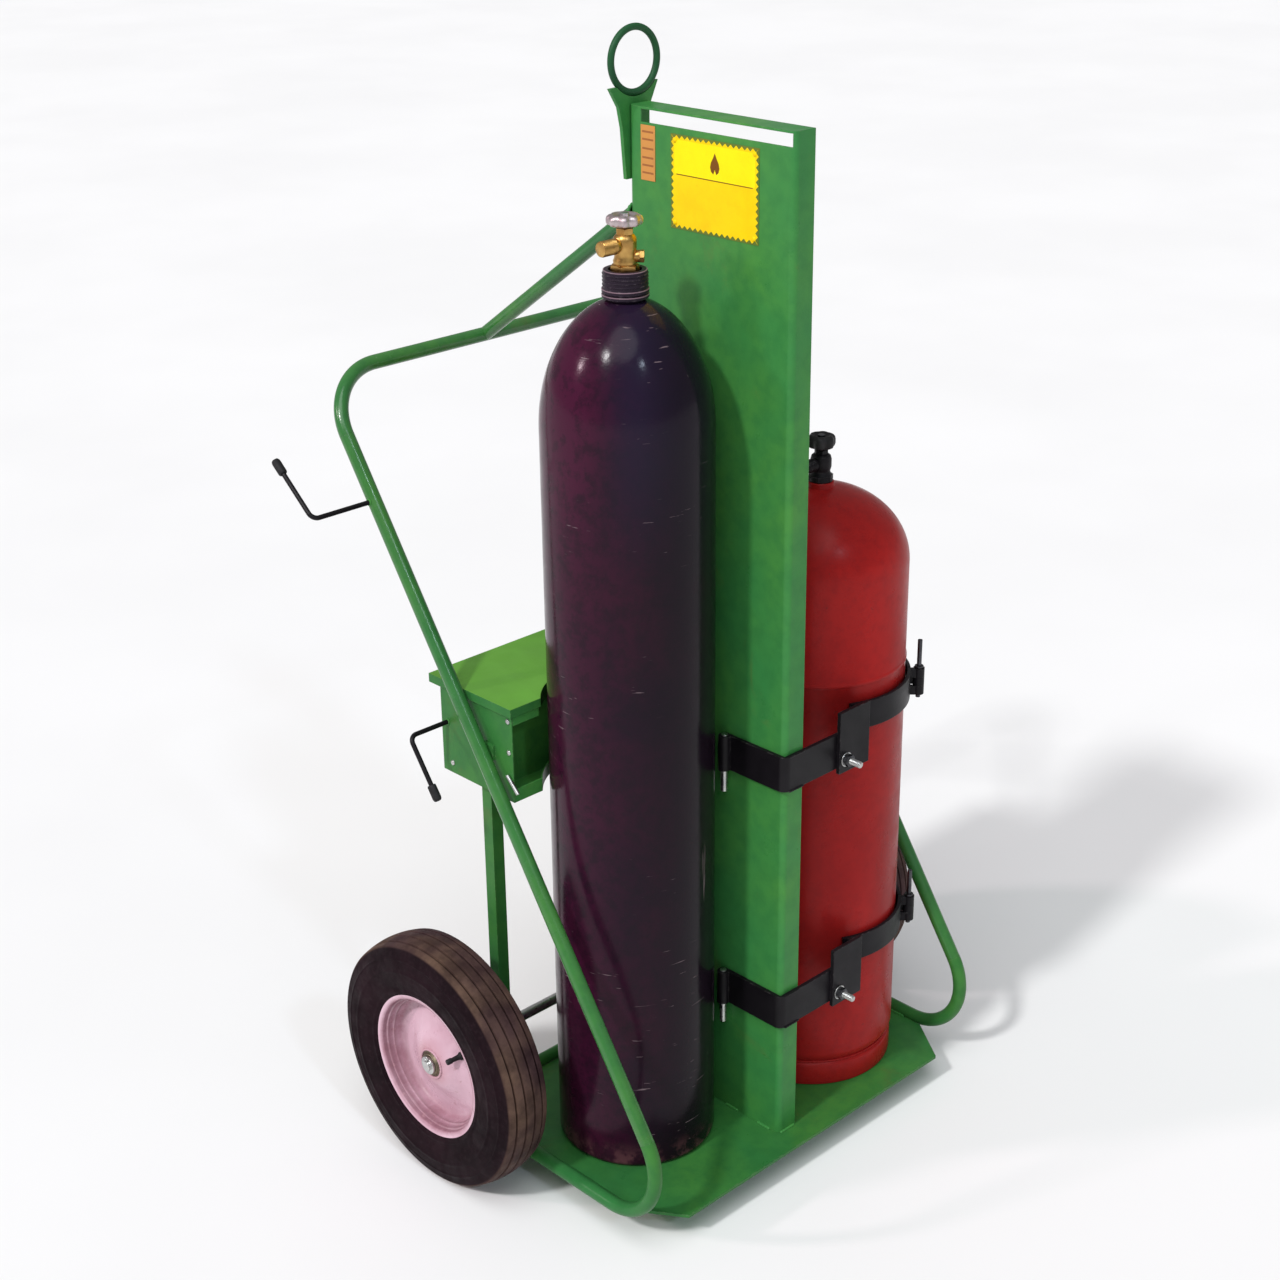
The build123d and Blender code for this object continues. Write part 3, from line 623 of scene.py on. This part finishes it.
def ring_points(centre, axis, radius, count):
    """A circle of points round an axis."""
    u, v, _ = basis(axis)
    centre = Vector(centre)
    out = []
    for i in range(count):
        a = 2 * math.pi * i / count
        out.append(centre + u * math.cos(a) * radius + v * math.sin(a) * radius)
    return out


def rectangle(x0, x1, y0, y1):
    """The corners of a rectangle, as pairs."""
    return [(x0, y0), (x1, y0), (x1, y1), (x0, y1)]


def arc(cx, cy, radius, first, last, count):
    """Points of an arc in degrees, as pairs."""
    out = []
    for i in range(count + 1):
        a = math.radians(first + (last - first) * i / count)
        out.append((cx + radius * math.cos(a), cy + radius * math.sin(a)))
    return out


# ---------------------------------------------------------------- wheels

TREAD_R = 196.0
TREAD_HALF = 34.0
GROOVES = (24.0, 8.0, -8.0, -24.0)
SIDEWALL = [
    (109.0, 30.0), (110.5, 33.6), (114.0, 36.0), (117.6, 37.4), (118.8, 38.4), (120.6, 39.0),
    (122.4, 38.7), (123.6, 38.6), (128.0, 40.0), (134.0, 41.4), (140.0, 42.4), (146.0, 43.1),
    (150.6, 43.4), (151.4, 43.9), (153.0, 44.0), (154.6, 43.9), (155.4, 43.4), (160.0, 43.1),
    (165.0, 42.5), (169.5, 41.7), (171.0, 41.5), (171.8, 41.9), (173.4, 41.7), (174.2, 40.9),
    (178.0, 39.4), (182.0, 37.9), (185.2, 36.9), (187.6, 36.2), (189.4, 35.4), (190.4, 34.5),
]
INNER = [(108.4, 23.0), (130.0, 31.0), (152.0, 35.0), (174.0, 30.0), (183.0, 0.0)]
RIM_LINE = [
    (116.6, 33.2), (117.0, 34.2), (116.8, 35.4), (115.8, 36.0), (114.0, 35.7), (111.0, 35.0),
    (107.5, 34.5), (106.2, 33.6), (105.4, 32.0), (105.0, 27.6), (104.2, 26.4), (101.9, 25.8),
    (101.2, 24.8), (100.9, 18.4), (100.2, 17.2), (98.2, 16.6), (97.5, 15.6), (97.0, 8.0), (96.0, 4.6),
    (94.2, 2.2), (91.5, 0.6), (87.0, 0.6), (81.0, 2.2), (73.0, 4.6), (65.0, 7.0),
    (58.5, 9.6), (51.0, 13.2), (44.5, 16.6), (38.0, 19.8), (32.0, 22.0), (27.0, 23.4), (22.4, 24.0),
    (22.4, 20.0), (33.0, 16.5), (41.0, 13.2), (57.0, 5.0), (66.0, -1.0), (88.0, -5.5), (94.0, -6.5),
    (98.0, -10.0), (101.5, -16.0), (104.2, -30.0), (105.4, -34.0), (111.0, -35.2), (115.8, -36.0),
    (116.8, -35.4), (117.0, -34.2), (116.4, -33.0), (108.6, -31.2), (108.6, 31.2), (116.0, 33.0),
]
HUB_LINE = [
    (8.3, -46.0), (14.8, -46.0), (16.0, -45.0), (16.0, 18.0), (21.0, 18.6), (22.2, 19.6), (22.2, 23.0),
    (21.4, 24.0), (18.6, 24.4), (17.6, 25.4), (17.0, 27.2), (16.0, 28.0), (12.4, 28.0), (11.8, 27.4),
    (11.6, 26.4), (8.3, 26.4),
]
HUB_WELD_OUT = 24.2
STEM_ANGLE = math.radians(31.0)
STEM_R = 62.0
STEM_OUT = 8.0
STEM_LEAN = 0.25


def crown(h):
    """The tread's radius at a distance from its middle."""
    return TREAD_R - 5.4 * (h / TREAD_HALF) ** 2


def rib(first, last, steps=4):
    """One rib of the tread between two distances from its middle."""
    heights = [first + (last - first) * i / steps for i in range(steps + 1)]
    return [(crown(h), h) for h in heights]


def tread_line():
    """The ribbed tread, from the outer shoulder to the inner one."""
    line = []
    start = TREAD_HALF
    for g in GROOVES:
        line += rib(start, g + 2.1)
        r = crown(g)
        line += [(r - 0.8, g + 1.6), (r - 5.6, g + 1.2), (r - 6.2, g + 0.7)]
        line += [(r - 6.2, g - 0.7), (r - 5.6, g - 1.2), (r - 0.8, g - 1.6)]
        start = g - 2.1
    return line + rib(start, -TREAD_HALF)


def make_wheel(side, s):
    """Tyre, rim and hub in place of the CAD ones, with the weld round the hub."""
    body = "wheel_" + side
    centre = (s * WHEEL_X, AXLE_Y, AXLE_Z)
    axis = (s, 0, 0)
    profile = SIDEWALL + tread_line()
    profile += [(r, -h) for r, h in reversed(SIDEWALL)]
    profile += [(r, -h) for r, h in INNER] + [(r, h) for r, h in reversed(INNER[:-1])]
    tyre = turned("tyre_shell_" + side, profile, centre, axis, TYRE, body, "tyre", 192, True)
    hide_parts("tyre_" + side)
    rim = turned("rim_disc_" + side, RIM_LINE, centre, axis, RIM, body, "rim_paint", 128, True)
    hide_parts("rim_" + side)
    hub = turned("hub_barrel_" + side, HUB_LINE, centre, axis, HUB, body, "hub_metal", 64, True)
    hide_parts("hub_" + side)
    ring = ring_points((s * (WHEEL_X + HUB_WELD_OUT), AXLE_Y, AXLE_Z), axis, 22.6, 60)
    carried("hub_weld_" + side, ring, 1.9, RIM, body, 10, True, ripple=0.35, step=1.5)


def make_valve_stem(side, s):
    """The tyre's valve stem with its cap, standing out of the rim."""
    axis = Vector((s, 0, 0))
    out = Vector((0, -math.cos(STEM_ANGLE), math.sin(STEM_ANGLE)))
    foot = Vector((s * WHEEL_X, AXLE_Y, AXLE_Z)) + axis * STEM_OUT + out * STEM_R
    way = (axis - out * STEM_LEAN).normalized()
    line = [(4.6, -1.0), (6.2, 0.0), (6.2, 2.5), (4.6, 4.5), (3.9, 8.0), (3.6, 16.0), (3.6, 16.6)]
    line += [(4.2, 17.0), (4.4, 18.0), (4.4, 24.0), (3.6, 25.4), (0.4, 25.8)]
    turned("valve_stem_" + side, line, foot, way, TIP, "wheel_" + side, "rubber_tip", 28)


def make_split_pin(side, s):
    """The pin through the axle's end, with its eye."""
    x = s * (AXLE_END - 2.0)
    pin = [(x, AXLE_Y, AXLE_Z + z) for z in (-11.5, -9.0, 9.0, 11.0)]
    carried("split_pin_" + side, pin, 1.1, ZINC, "cart", 10, step=2.0)
    eye = ring_points((x, AXLE_Y, AXLE_Z + 13.2), RIGHT, 2.6, 20)
    carried("split_pin_eye_" + side, eye, 0.9, ZINC, "cart", 8, True)


for side, s in (("left", -1), ("right", 1)):
    make_wheel(side, s)
    make_valve_stem(side, s)
    make_split_pin(side, s)


# ---------------------------------------------------------------- gas cylinders

OXYGEN_BRASS = (BRASS, "oxygen", "valve_brass")
FUEL_VALVE = (BLACK, "fuel", "black_valve")
OXY_SHOULDER = 1162.0
OXY_OUTLET_Z = 1404.5
FUEL_SHOULDER = 888.0
FUEL_OUTLET_Z = 1034.0
THREAD_PITCH = 1.9


def on_axis(centre, z):
    """A point on a cylinder's own axis."""
    return Vector((*centre, z))


def dome_line(radius, height, base, neck, count=48):
    """A cylinder's shoulder, from its full radius in to the neck."""
    last = math.acos(neck / radius)
    line = []
    for i in range(count + 1):
        a = last * i / count
        line.append((radius * math.cos(a), base + height * math.sin(a)))
    return line


def dented(r, h, a):
    """The oxygen cylinder's barrel is very slightly out of round."""
    if r <= 80 or not 150 < h < 1100:
        return r
    return r + 0.175 * math.sin(3 * a + h * 0.006)


def neck_ring(name, z, radius, thickness, material):
    """A thin ring round the oxygen cylinder's neck."""
    points = ring_points(on_axis(OXY, z), UP, radius, 72)
    carried(name, points, thickness, material, "oxygen", 8, True)


def grip(name, centre, z, radius, height, lobes, depth, look, node):
    """A moulded or cast hand grip with finger lobes and a sunk top round the spindle nut."""
    line = [
        (0.30, 0.02), (0.55, 0.0), (0.80, 0.05), (0.94, 0.14), (1.0, 0.30), (1.0, 0.62),
        (0.96, 0.80), (0.86, 0.93), (0.72, 1.0), (0.58, 0.96), (0.46, 0.86), (0.34, 0.82), (0.02, 0.82),
    ]
    profile = [(a * radius, b * height) for a, b in line]

    def lobed(r, h, a):
        share = max(0.0, (r / radius - 0.45) / 0.55)
        return r - depth * share * (0.5 - 0.5 * math.cos(lobes * a)) ** 1.3

    piece = turned(name, profile, on_axis(centre, z), UP, *look, lobes * 16, wobble=lobed)
    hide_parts(node)


# the oxygen cylinder, its neck and its valve
profile = [(0.5, 61.0), (40.0, 60.2), (70.0, 57.6), (90.0, 53.4), (99.0, 51.2), (106.0, PLATE_TOP)]
profile += arc(107.5, 61.0, 10.0, -80, 0, 10)
profile += [(OXY_R, z) for z in range(120, int(OXY_SHOULDER), 80)]
profile += dome_line(OXY_R, 175.0, OXY_SHOULDER, 24.0)
profile += [(22.6, 1338.0), (22.0, 1342.0), (22.0, 1367.0), (21.0, 1368.0), (0.5, 1368.0)]
shell = turned(
    "oxygen_shell", profile, on_axis(OXY, 0), UP, OXYGEN, "oxygen", "oxygen_paint", 160, wobble=dented
)
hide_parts("oxygen_cylinder")

collar = [
    (22.3, 1336.4), (30.4, 1336.4), (31.0, 1337.2), (31.0, 1340.0), (30.2, 1341.2), (28.6, 1342.0),
    (30.2, 1342.8), (31.0, 1344.0), (31.0, 1347.0), (30.4, 1348.4), (29.4, 1349.0), (29.4, 1370.0),
    (28.6, 1372.4), (27.0, 1373.0), (22.3, 1373.0),
]
ring = turned("neck_ring_thread", collar, on_axis(OXY, 0), UP, NECK, "oxygen", "dark_neck", 96, True)
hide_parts("oxygen_neck_ring")
for i, z in enumerate((1353.5, 1358.5, 1363.5, 1368.0)):
    neck_ring(f"neck_ring_ridge_{i}", z, 29.3, 1.0, NECK)
# painted highlight: pale rings along the collar's bevelled edges
for i, (z, radius) in enumerate(((1340.6, 30.6), (1347.8, 30.6), (1372.2, 28.2))):
    neck_ring(f"neck_ring_highlight_{i}", z, radius, 0.8, NECK_HIGHLIGHT)

body_line = [
    (12.0, 1366.0), (12.0, 1369.0), (15.2, 1380.0), (15.6, 1384.0), (14.2, 1387.0), (13.6, 1392.0),
    (14.6, 1396.0), (15.4, 1400.0), (15.4, 1410.0), (14.4, 1414.0), (12.4, 1417.0), (10.4, 1418.4),
    (0.5, 1418.4),
]
valve = turned("oxygen_valve_body", body_line, on_axis(OXY, 0), UP, *OXYGEN_BRASS, 64)
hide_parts("oxygen_valve")
hex_piece("oxygen_valve_hex", on_axis(OXY, 1368.2), UP, 16.6, 11.0, *OXYGEN_BRASS)
hex_piece("oxygen_gland_nut", on_axis(OXY, 1417.6), UP, 10.6, 8.6, *OXYGEN_BRASS, turn=0.3)
spindle = [(4.2, 1425.0), (4.2, 1441.0), (3.4, 1442.0), (0.5, 1442.0)]
turned("oxygen_spindle", spindle, on_axis(OXY, 0), UP, *OXYGEN_BRASS, 32)
outlet_at = on_axis(OXY, OXY_OUTLET_Z)
outlet = [(8.6, 8.0), (9.2, 14.0), (10.2, 17.0), (10.2, 20.0), (0.5, 20.0)]
turned("oxygen_outlet_neck", outlet, outlet_at, LEFT, *OXYGEN_BRASS, 40)
thread_at = outlet_at + Vector(LEFT) * 19.0
threaded("oxygen_outlet_thread", thread_at, LEFT, 10.4, 24.0, THREAD_PITCH, *OXYGEN_BRASS)
relief_way = Vector((1, -1, 0)).normalized()
relief_at = on_axis(OXY, 1389.0) + relief_way * 10
boss = [(7.0, 0.0), (7.4, 4.0), (8.0, 6.0), (8.0, 9.0), (0.5, 9.0)]
turned("oxygen_relief_boss", boss, relief_at, relief_way, *OXYGEN_BRASS, 36)
plug_at = relief_at + relief_way * 8.6
hex_piece("oxygen_relief_plug", plug_at, relief_way, 7.4, 6.4, *OXYGEN_BRASS)
look = (GRIP, "oxygen_grip", "grip_metal")
grip("oxygen_grip_wheel", OXY, 1428.5, 24.0, 15.0, 8, 3.2, look, "oxygen_handwheel")
hex_piece("oxygen_grip_nut", on_axis(OXY, 1440.6), UP, 5.6, 4.4, ZINC, "oxygen_grip", "zinc")

# the fuel cylinder with its rolled foot, seam and valve
profile = [(0.5, 77.0), (110.0, 77.0), (112.0, 74.0), (117.0, 52.0), (119.0, PLATE_TOP)]
profile += [(128.0, PLATE_TOP), (130.0, 52.4), (130.6, 56.0), (130.6, 84.0), (129.6, 87.0), (126.6, 89.4)]
profile += [(125.6, 91.0), (125.6, 93.0), (126.8, 95.6), (129.6, 98.8), (131.9, 103.0), (FUEL_R, 109.0)]
profile += [(FUEL_R, z) for z in range(180, 720, 90)] + [(FUEL_R, 733.5), (133.2, 734.6)]
profile += [(134.0, 736.4), (134.1, 738.0), (134.0, 739.6), (133.2, 741.4), (FUEL_R, 742.5)]
profile += dome_line(FUEL_R, 112.0, FUEL_SHOULDER, 22.0)
profile += [(20.4, 998.8), (20.0, 1001.0), (20.0, 1006.0), (19.0, 1007.0), (0.5, 1007.0)]
shell = turned("fuel_shell", profile, on_axis(FUEL, 0), UP, FUEL_RED, "fuel", "fuel_paint", 168)
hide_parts("fuel_cylinder")
bead = ring_points(on_axis(FUEL, 91.8), UP, 126.2, 220)
carried("fuel_foot_weld", bead, 1.8, FUEL_RED, "fuel", 8, True, ripple=0.3, step=2.4)

body_line = [
    (11.0, 1004.0), (16.8, 1006.6), (17.8, 1008.0), (17.8, 1012.0), (15.0, 1018.0), (13.4, 1022.0),
    (14.6, 1026.0), (15.4, 1029.0), (15.4, 1040.0), (14.0, 1045.0), (11.0, 1047.6), (0.5, 1047.6),
]
valve = turned("fuel_valve_body", body_line, on_axis(FUEL, 0), UP, *FUEL_VALVE, 56)
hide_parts("fuel_valve")
hex_piece("fuel_valve_hex", on_axis(FUEL, 1007.0), UP, 16.5, 10.0, *FUEL_VALVE)
hex_piece("fuel_gland_nut", on_axis(FUEL, 1047.0), UP, 9.0, 7.4, *FUEL_VALVE, turn=0.4)
spindle = [(4.0, 1053.0), (4.0, 1071.0), (3.2, 1072.0), (0.5, 1072.0)]
turned("fuel_spindle", spindle, on_axis(FUEL, 0), UP, DARK_PIN, "fuel", "dark_pin", 28)
outlet_at = on_axis(FUEL, FUEL_OUTLET_Z)
outlet = [(8.4, 10.0), (9.0, 15.0), (9.9, 17.0), (9.9, 19.0), (0.5, 19.0)]
turned("fuel_outlet_neck", outlet, outlet_at, LEFT, *FUEL_VALVE, 40)
thread_at = outlet_at + Vector(LEFT) * 18.0
threaded("fuel_outlet_thread", thread_at, LEFT, 9.9, 18.0, THREAD_PITCH, *FUEL_VALVE)
look = (GRIP_BLACK, "fuel_grip", "black_grip")
grip("fuel_grip_wheel", FUEL, 1056.5, 21.0, 20.0, 6, 3.0, look, "fuel_handwheel")
hex_piece("fuel_grip_nut", on_axis(FUEL, 1072.6), UP, 5.0, 3.6, DARK_PIN, "fuel_grip", "dark_pin")

# ---------------------------------------------------------------- clamp hardware

STUD_Y = -298.0
WASHER_Y = -309.5
NUT_Y = -311.4
BAR_WELD_Y = WALL_FRONT - 6.4
BAR_WELD_DROP = 29.0
BAR_WELD_HALF = 27.0
EAR_WELD = (115.0, -305.6)
EAR_WELD_HALF = 20.0

for level, z in BANDS.items():
    body = level + "_bolt"
    bolt_z = z - BOLT_DROP
    stud = threaded(
        level + "_stud", (BOLT_X, STUD_Y, bolt_z), FRONT, 5.0, 40.0, 1.75, ZINC, body, "zinc"
    )
    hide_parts(level + "_clamp_bolt")
    nut_at = (BOLT_X, NUT_Y, bolt_z)
    hex_piece(level + "_stud_nut", nut_at, FRONT, 8.2, 7.6, DARK_PIN, body, "dark_pin", bore=4.6)
    washer = [(5.1, 0.0), (10.6, 0.0), (11.0, 0.4), (11.0, 1.4), (10.6, 1.8), (5.1, 1.8)]
    washer_at = (BOLT_X, WASHER_Y, bolt_z)
    turned(level + "_stud_washer", washer, washer_at, FRONT, ZINC, body, "zinc", 48, True)
    head = [(3.6, -3.0), (6.2, -3.0), (6.6, -2.4), (6.6, 0.0), (3.6, 0.0)]
    head_at = (*PIN, z + 24.4)
    turned(level + "_pin_collar", head, head_at, UP, DARK_PIN, "cart", "dark_pin", 32, True)
    # welds where the bar meets the partition's front fold
    for k, side in enumerate((1, -1)):
        weld_z = z - BAR_WELD_DROP + side * BAR_WELD_HALF
        line = [(x, BAR_WELD_Y, weld_z) for x in (WALL_LEFT + 3, WALL_RIGHT - 4)]
        weld(f"{level}_bar_weld_{k}", line, 1.4, material=BLACK)
    ear = [(*EAR_WELD, z - EAR_WELD_HALF), (*EAR_WELD, z + EAR_WELD_HALF)]
    weld(level + "_ear_weld", ear, 1.8, level + "_band", material=BLACK)

# ---------------------------------------------------------------- frame welds

PLATE_WELD_X = 331.0
POST_X = 294.0
POST_WELD_HALF = 10.6
LOWER_HOOK_X = 326.3
# Y and Z of the rear cross tube, and of the hooks where they leave the side tube and the toolbox
CROSS_TUBE = (98.0, 54.0)
UPPER_HOOK = (223.6, 1013.0)
LOWER_HOOK = (104.0, 703.0)
BRACE_TOP = (-40.0, 3.0, 1406.0)

for side, s in (("left", -1), ("right", 1)):
    for i, y in enumerate((-228, -150, -72, 6)):
        line = [(s * PLATE_WELD_X, y + dy, PLATE_TOP + 0.4) for dy in (0, 34)]
        weld(f"plate_weld_{side}_{i}", line, 2.4)
    ring = ring_points((s * (RAIL_X - TUBE_R - 0.6), *CROSS_TUBE), RIGHT, TUBE_R + 0.4, 44)
    weld(f"cross_weld_{side}", ring, 1.9, closed=True)
    x, w = s * POST_X, POST_WELD_HALF
    for k, z in (("foot", PLATE_TOP + 0.8), ("head", 623.2)):
        square = [(*corner, z) for corner in rectangle(x - w, x + w, AXLE_Y - w, AXLE_Y + w)]
        weld(f"post_weld_{k}_{side}", square, 2.0, closed=True)
    ring = ring_points((s * (RAIL_X + TUBE_R - 0.4), *UPPER_HOOK), RIGHT, 4.0, 24)
    weld(f"hook_weld_{side}", ring, 1.3, closed=True)
    ring = ring_points((s * LOWER_HOOK_X, *LOWER_HOOK), RIGHT, 4.0, 24)
    weld(f"hook_low_weld_{side}", ring, 1.3, closed=True)
for i, y in enumerate((-280, -214, -148, -82, -34)):
    line = [(WALL_LEFT - 0.4, y + dy, PLATE_TOP + 0.6) for dy in (0, 26)]
    weld(f"wall_weld_{i}", line, 2.4)
line = [(x, WALL_FRONT - 0.6, PLATE_TOP + 0.6) for x in (WALL_LEFT + 4, WALL_RIGHT - 2)]
weld("wall_weld_front", line, 2.2)
weld("eye_weld_left", [(-52, 8.2, 1460), (-54, 8.2, 1540)], 1.6)
weld("brace_weld_top", ring_points(BRACE_TOP, REAR, TUBE_R + 0.8, 44), 2.2, closed=True)

# ---------------------------------------------------------------- placards

ON_WALL = ((WALL_LEFT, 0, 0), REAR, UP, LEFT)
ON_YELLOW = ("cart", "label_yellow")
MARK_AT = (-159, 1492)


def saw_outline(y0, y1, z0, z1, pitch, depth):
    """A rectangle whose edges are a saw of small teeth."""
    out = []
    corners = [Vector(c) for c in rectangle(y0, y1, z0, z1)]
    for a, b in zip(corners, corners[1:] + corners[:1]):
        inward = Vector((-(b - a).y, (b - a).x)).normalized()
        teeth = max(2, round((b - a).length / pitch))
        for i in range(teeth):
            out.append(tuple(a.lerp(b, i / teeth)))
            out.append(tuple(a.lerp(b, (i + 0.5) / teeth) + inward * depth))
    return out


back = plate("placard_back", rectangle(-237, -78, 1399, 1523), 0.5, ON_WALL, LABEL_EDGE, *ON_YELLOW)
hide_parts("yellow_placard")
face = saw_outline(-235.5, -79.5, 1400.5, 1521.5, 9.6, 4.4)
plate("placard_face", face, 0.8, ON_WALL, YELLOW, *ON_YELLOW)
plate("placard_band", rectangle(-230, -85, 1472, 1516), 0.9, ON_WALL, YELLOW_TOP, *ON_YELLOW)
plate("placard_rule", rectangle(-226, -89, 1470.6, 1471.8), 0.95, ON_WALL, LABEL_INK, *ON_YELLOW)
drop = [(0.0, 15.0), (3.4, 8.0), (7.0, 2.0), (8.4, -4.0), (6.6, -9.6), (2.6, -12.6), (0.0, -6.0)]
drop += [(-y, z) for y, z in reversed(drop[1:-1])]
drop = [(MARK_AT[0] + y, MARK_AT[1] + z) for y, z in drop]
plate("placard_mark", drop, 1.0, ON_WALL, LABEL_INK, *ON_YELLOW)

tag = plate(
    "tag_face", rectangle(-49, -22, 1455, 1528), 0.9, ON_WALL, ORANGE, "cart", "label_orange", bevel=0.3
)
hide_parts("orange_placard")
for i, z in enumerate((1464, 1474, 1484, 1496, 1508, 1518)):
    line = rectangle(-46, -25, z, z + 2.6)
    plate(f"tag_rule_{i}", line, 1.0, ON_WALL, ORANGE_LINE, "cart", "label_orange")
rivet = [(3.4, 0.0), (3.4, 0.5), (2.8, 1.3), (1.6, 1.9), (0.2, 2.1)]
for i, (y, z) in enumerate([(y, z) for y in (-229, -86) for z in (1407, 1515)]):
    turned(f"placard_rivet_{i}", rivet, (WALL_LEFT - 0.7, y, z), LEFT, YELLOW, *ON_YELLOW, 24)

# ---------------------------------------------------------------- hook tips and toolbox rivets

TIP_LENGTH = 25.0
TIP_LINE = [
    (3.7, 0.0), (5.4, 0.2), (6.2, 1.4), (6.4, 3.0), (6.49, 19.5), (6.1, 22.0), (5.0, 24.0),
    (3.0, 24.9), (0.3, TIP_LENGTH),
]
BOX_SIDE_X = 325.8
BOX_RIVET = [(4.2, 0.0), (4.2, 0.6), (3.6, 1.7), (2.0, 2.5), (0.2, 2.7)]
# the last straight stretch of each hook: X at both ends, then Y and Z of the bend and of the free end
HOOK_ENDS = (
    ("upper", 448.7, (223.9, 1013.0), (304.5, 1080.4)),
    ("lower", 395.0, (104.0, 703.0), (46.5, 621.5)),
)

for side, s in (("left", -1), ("right", 1)):
    for level, x, bend, end in HOOK_ENDS:
        end = Vector((s * x, *end))
        way = (end - Vector((s * x, *bend))).normalized()
        tip_at = end - way * TIP_LENGTH
        tip = turned(f"tip_{level}_{side}", TIP_LINE, tip_at, way, TIP, "cart", "rubber_tip", 32)
        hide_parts(f"hook_tip_{level}_{side}")
    for i, (y, z) in enumerate(((-30.0, 700.0), (-30.0, 748.0), (96.0, 640.0), (14.0, 640.0))):
        rivet_at = (s * BOX_SIDE_X, y, z)
        turned(f"box_rivet_{side}_{i}", BOX_RIVET, rivet_at, (s, 0, 0), ZINC, "cart", "zinc", 24)

# ---------------------------------------------------------------- floor, light and camera

FLOOR_HALF = 30.0
FLOOR_CELLS = 12
CAMERA_AT = (-2.0408, -2.0861, 2.0332)
YAW = math.radians(43.78)
PITCH = math.radians(-23.55)
ROLL = math.radians(-0.702)
SENSOR = 36.0
LENS = 60.181875

marks = [(i / FLOOR_CELLS - 0.5) * 2 * FLOOR_HALF for i in range(FLOOR_CELLS + 1)]
floor_mesh = bpy.data.meshes.new("floor")
floor_faces = grid_faces(FLOOR_CELLS + 1, FLOOR_CELLS + 1, False, False)
floor_mesh.from_pydata([(x, y, 0.0) for x in marks for y in marks], [], floor_faces)
floor_mesh.materials.append(make_floor())
floor = bpy.data.objects.new("floor", floor_mesh)
scene.collection.objects.link(floor)

world = bpy.data.worlds.new("studio")
scene.world = world
world.use_nodes = True
background = world.node_tree.nodes["Background"]
background.inputs["Color"].default_value = (1.0, 1.0, 1.0, 1.0)
background.inputs["Strength"].default_value = 0.34


def sun(name, toward, strength, spread, tint=(1.0, 1.0, 1.0)):
    """A far light: toward points from the object to the light, spread is its width in degrees."""
    data = bpy.data.lights.new(name, "SUN")
    data.energy = strength
    data.color = tint
    data.angle = math.radians(spread)
    lamp = bpy.data.objects.new(name, data)
    lamp.rotation_mode = "QUATERNION"
    lamp.rotation_quaternion = Vector(toward).to_track_quat("Z", "Y")
    scene.collection.objects.link(lamp)


sun("key", (-0.712, -0.057, 0.699), 1.55, 5.0)
sun("front", (-0.202, -0.747, 0.633), 0.32, 4.0, (0.72, 0.84, 1.0))
sun("left", (-0.750, 0.500, 0.430), 0.70, 5.0, (1.0, 0.80, 0.86))
sun("top", (-0.36, -0.28, 0.89), 1.12, 40.0, (0.95, 0.98, 1.0))

forward = Vector((math.sin(YAW) * math.cos(PITCH), math.cos(YAW) * math.cos(PITCH), math.sin(PITCH)))
level_right = forward.cross(Vector(UP)).normalized()
level_up = level_right.cross(forward)
right = level_right * math.cos(ROLL) + level_up * math.sin(ROLL)
up = level_up * math.cos(ROLL) - level_right * math.sin(ROLL)
camera_data = bpy.data.cameras.new("camera")
camera_data.sensor_width = SENSOR
camera_data.lens = LENS
camera_data.clip_end = 100.0
camera = bpy.data.objects.new("camera", camera_data)
turn = Matrix((right, up, -forward)).transposed()
camera.matrix_world = Matrix.Translation(Vector(CAMERA_AT)) @ turn.to_4x4()
scene.collection.objects.link(camera)
scene.camera = camera
scene.view_settings.view_transform = "Standard"
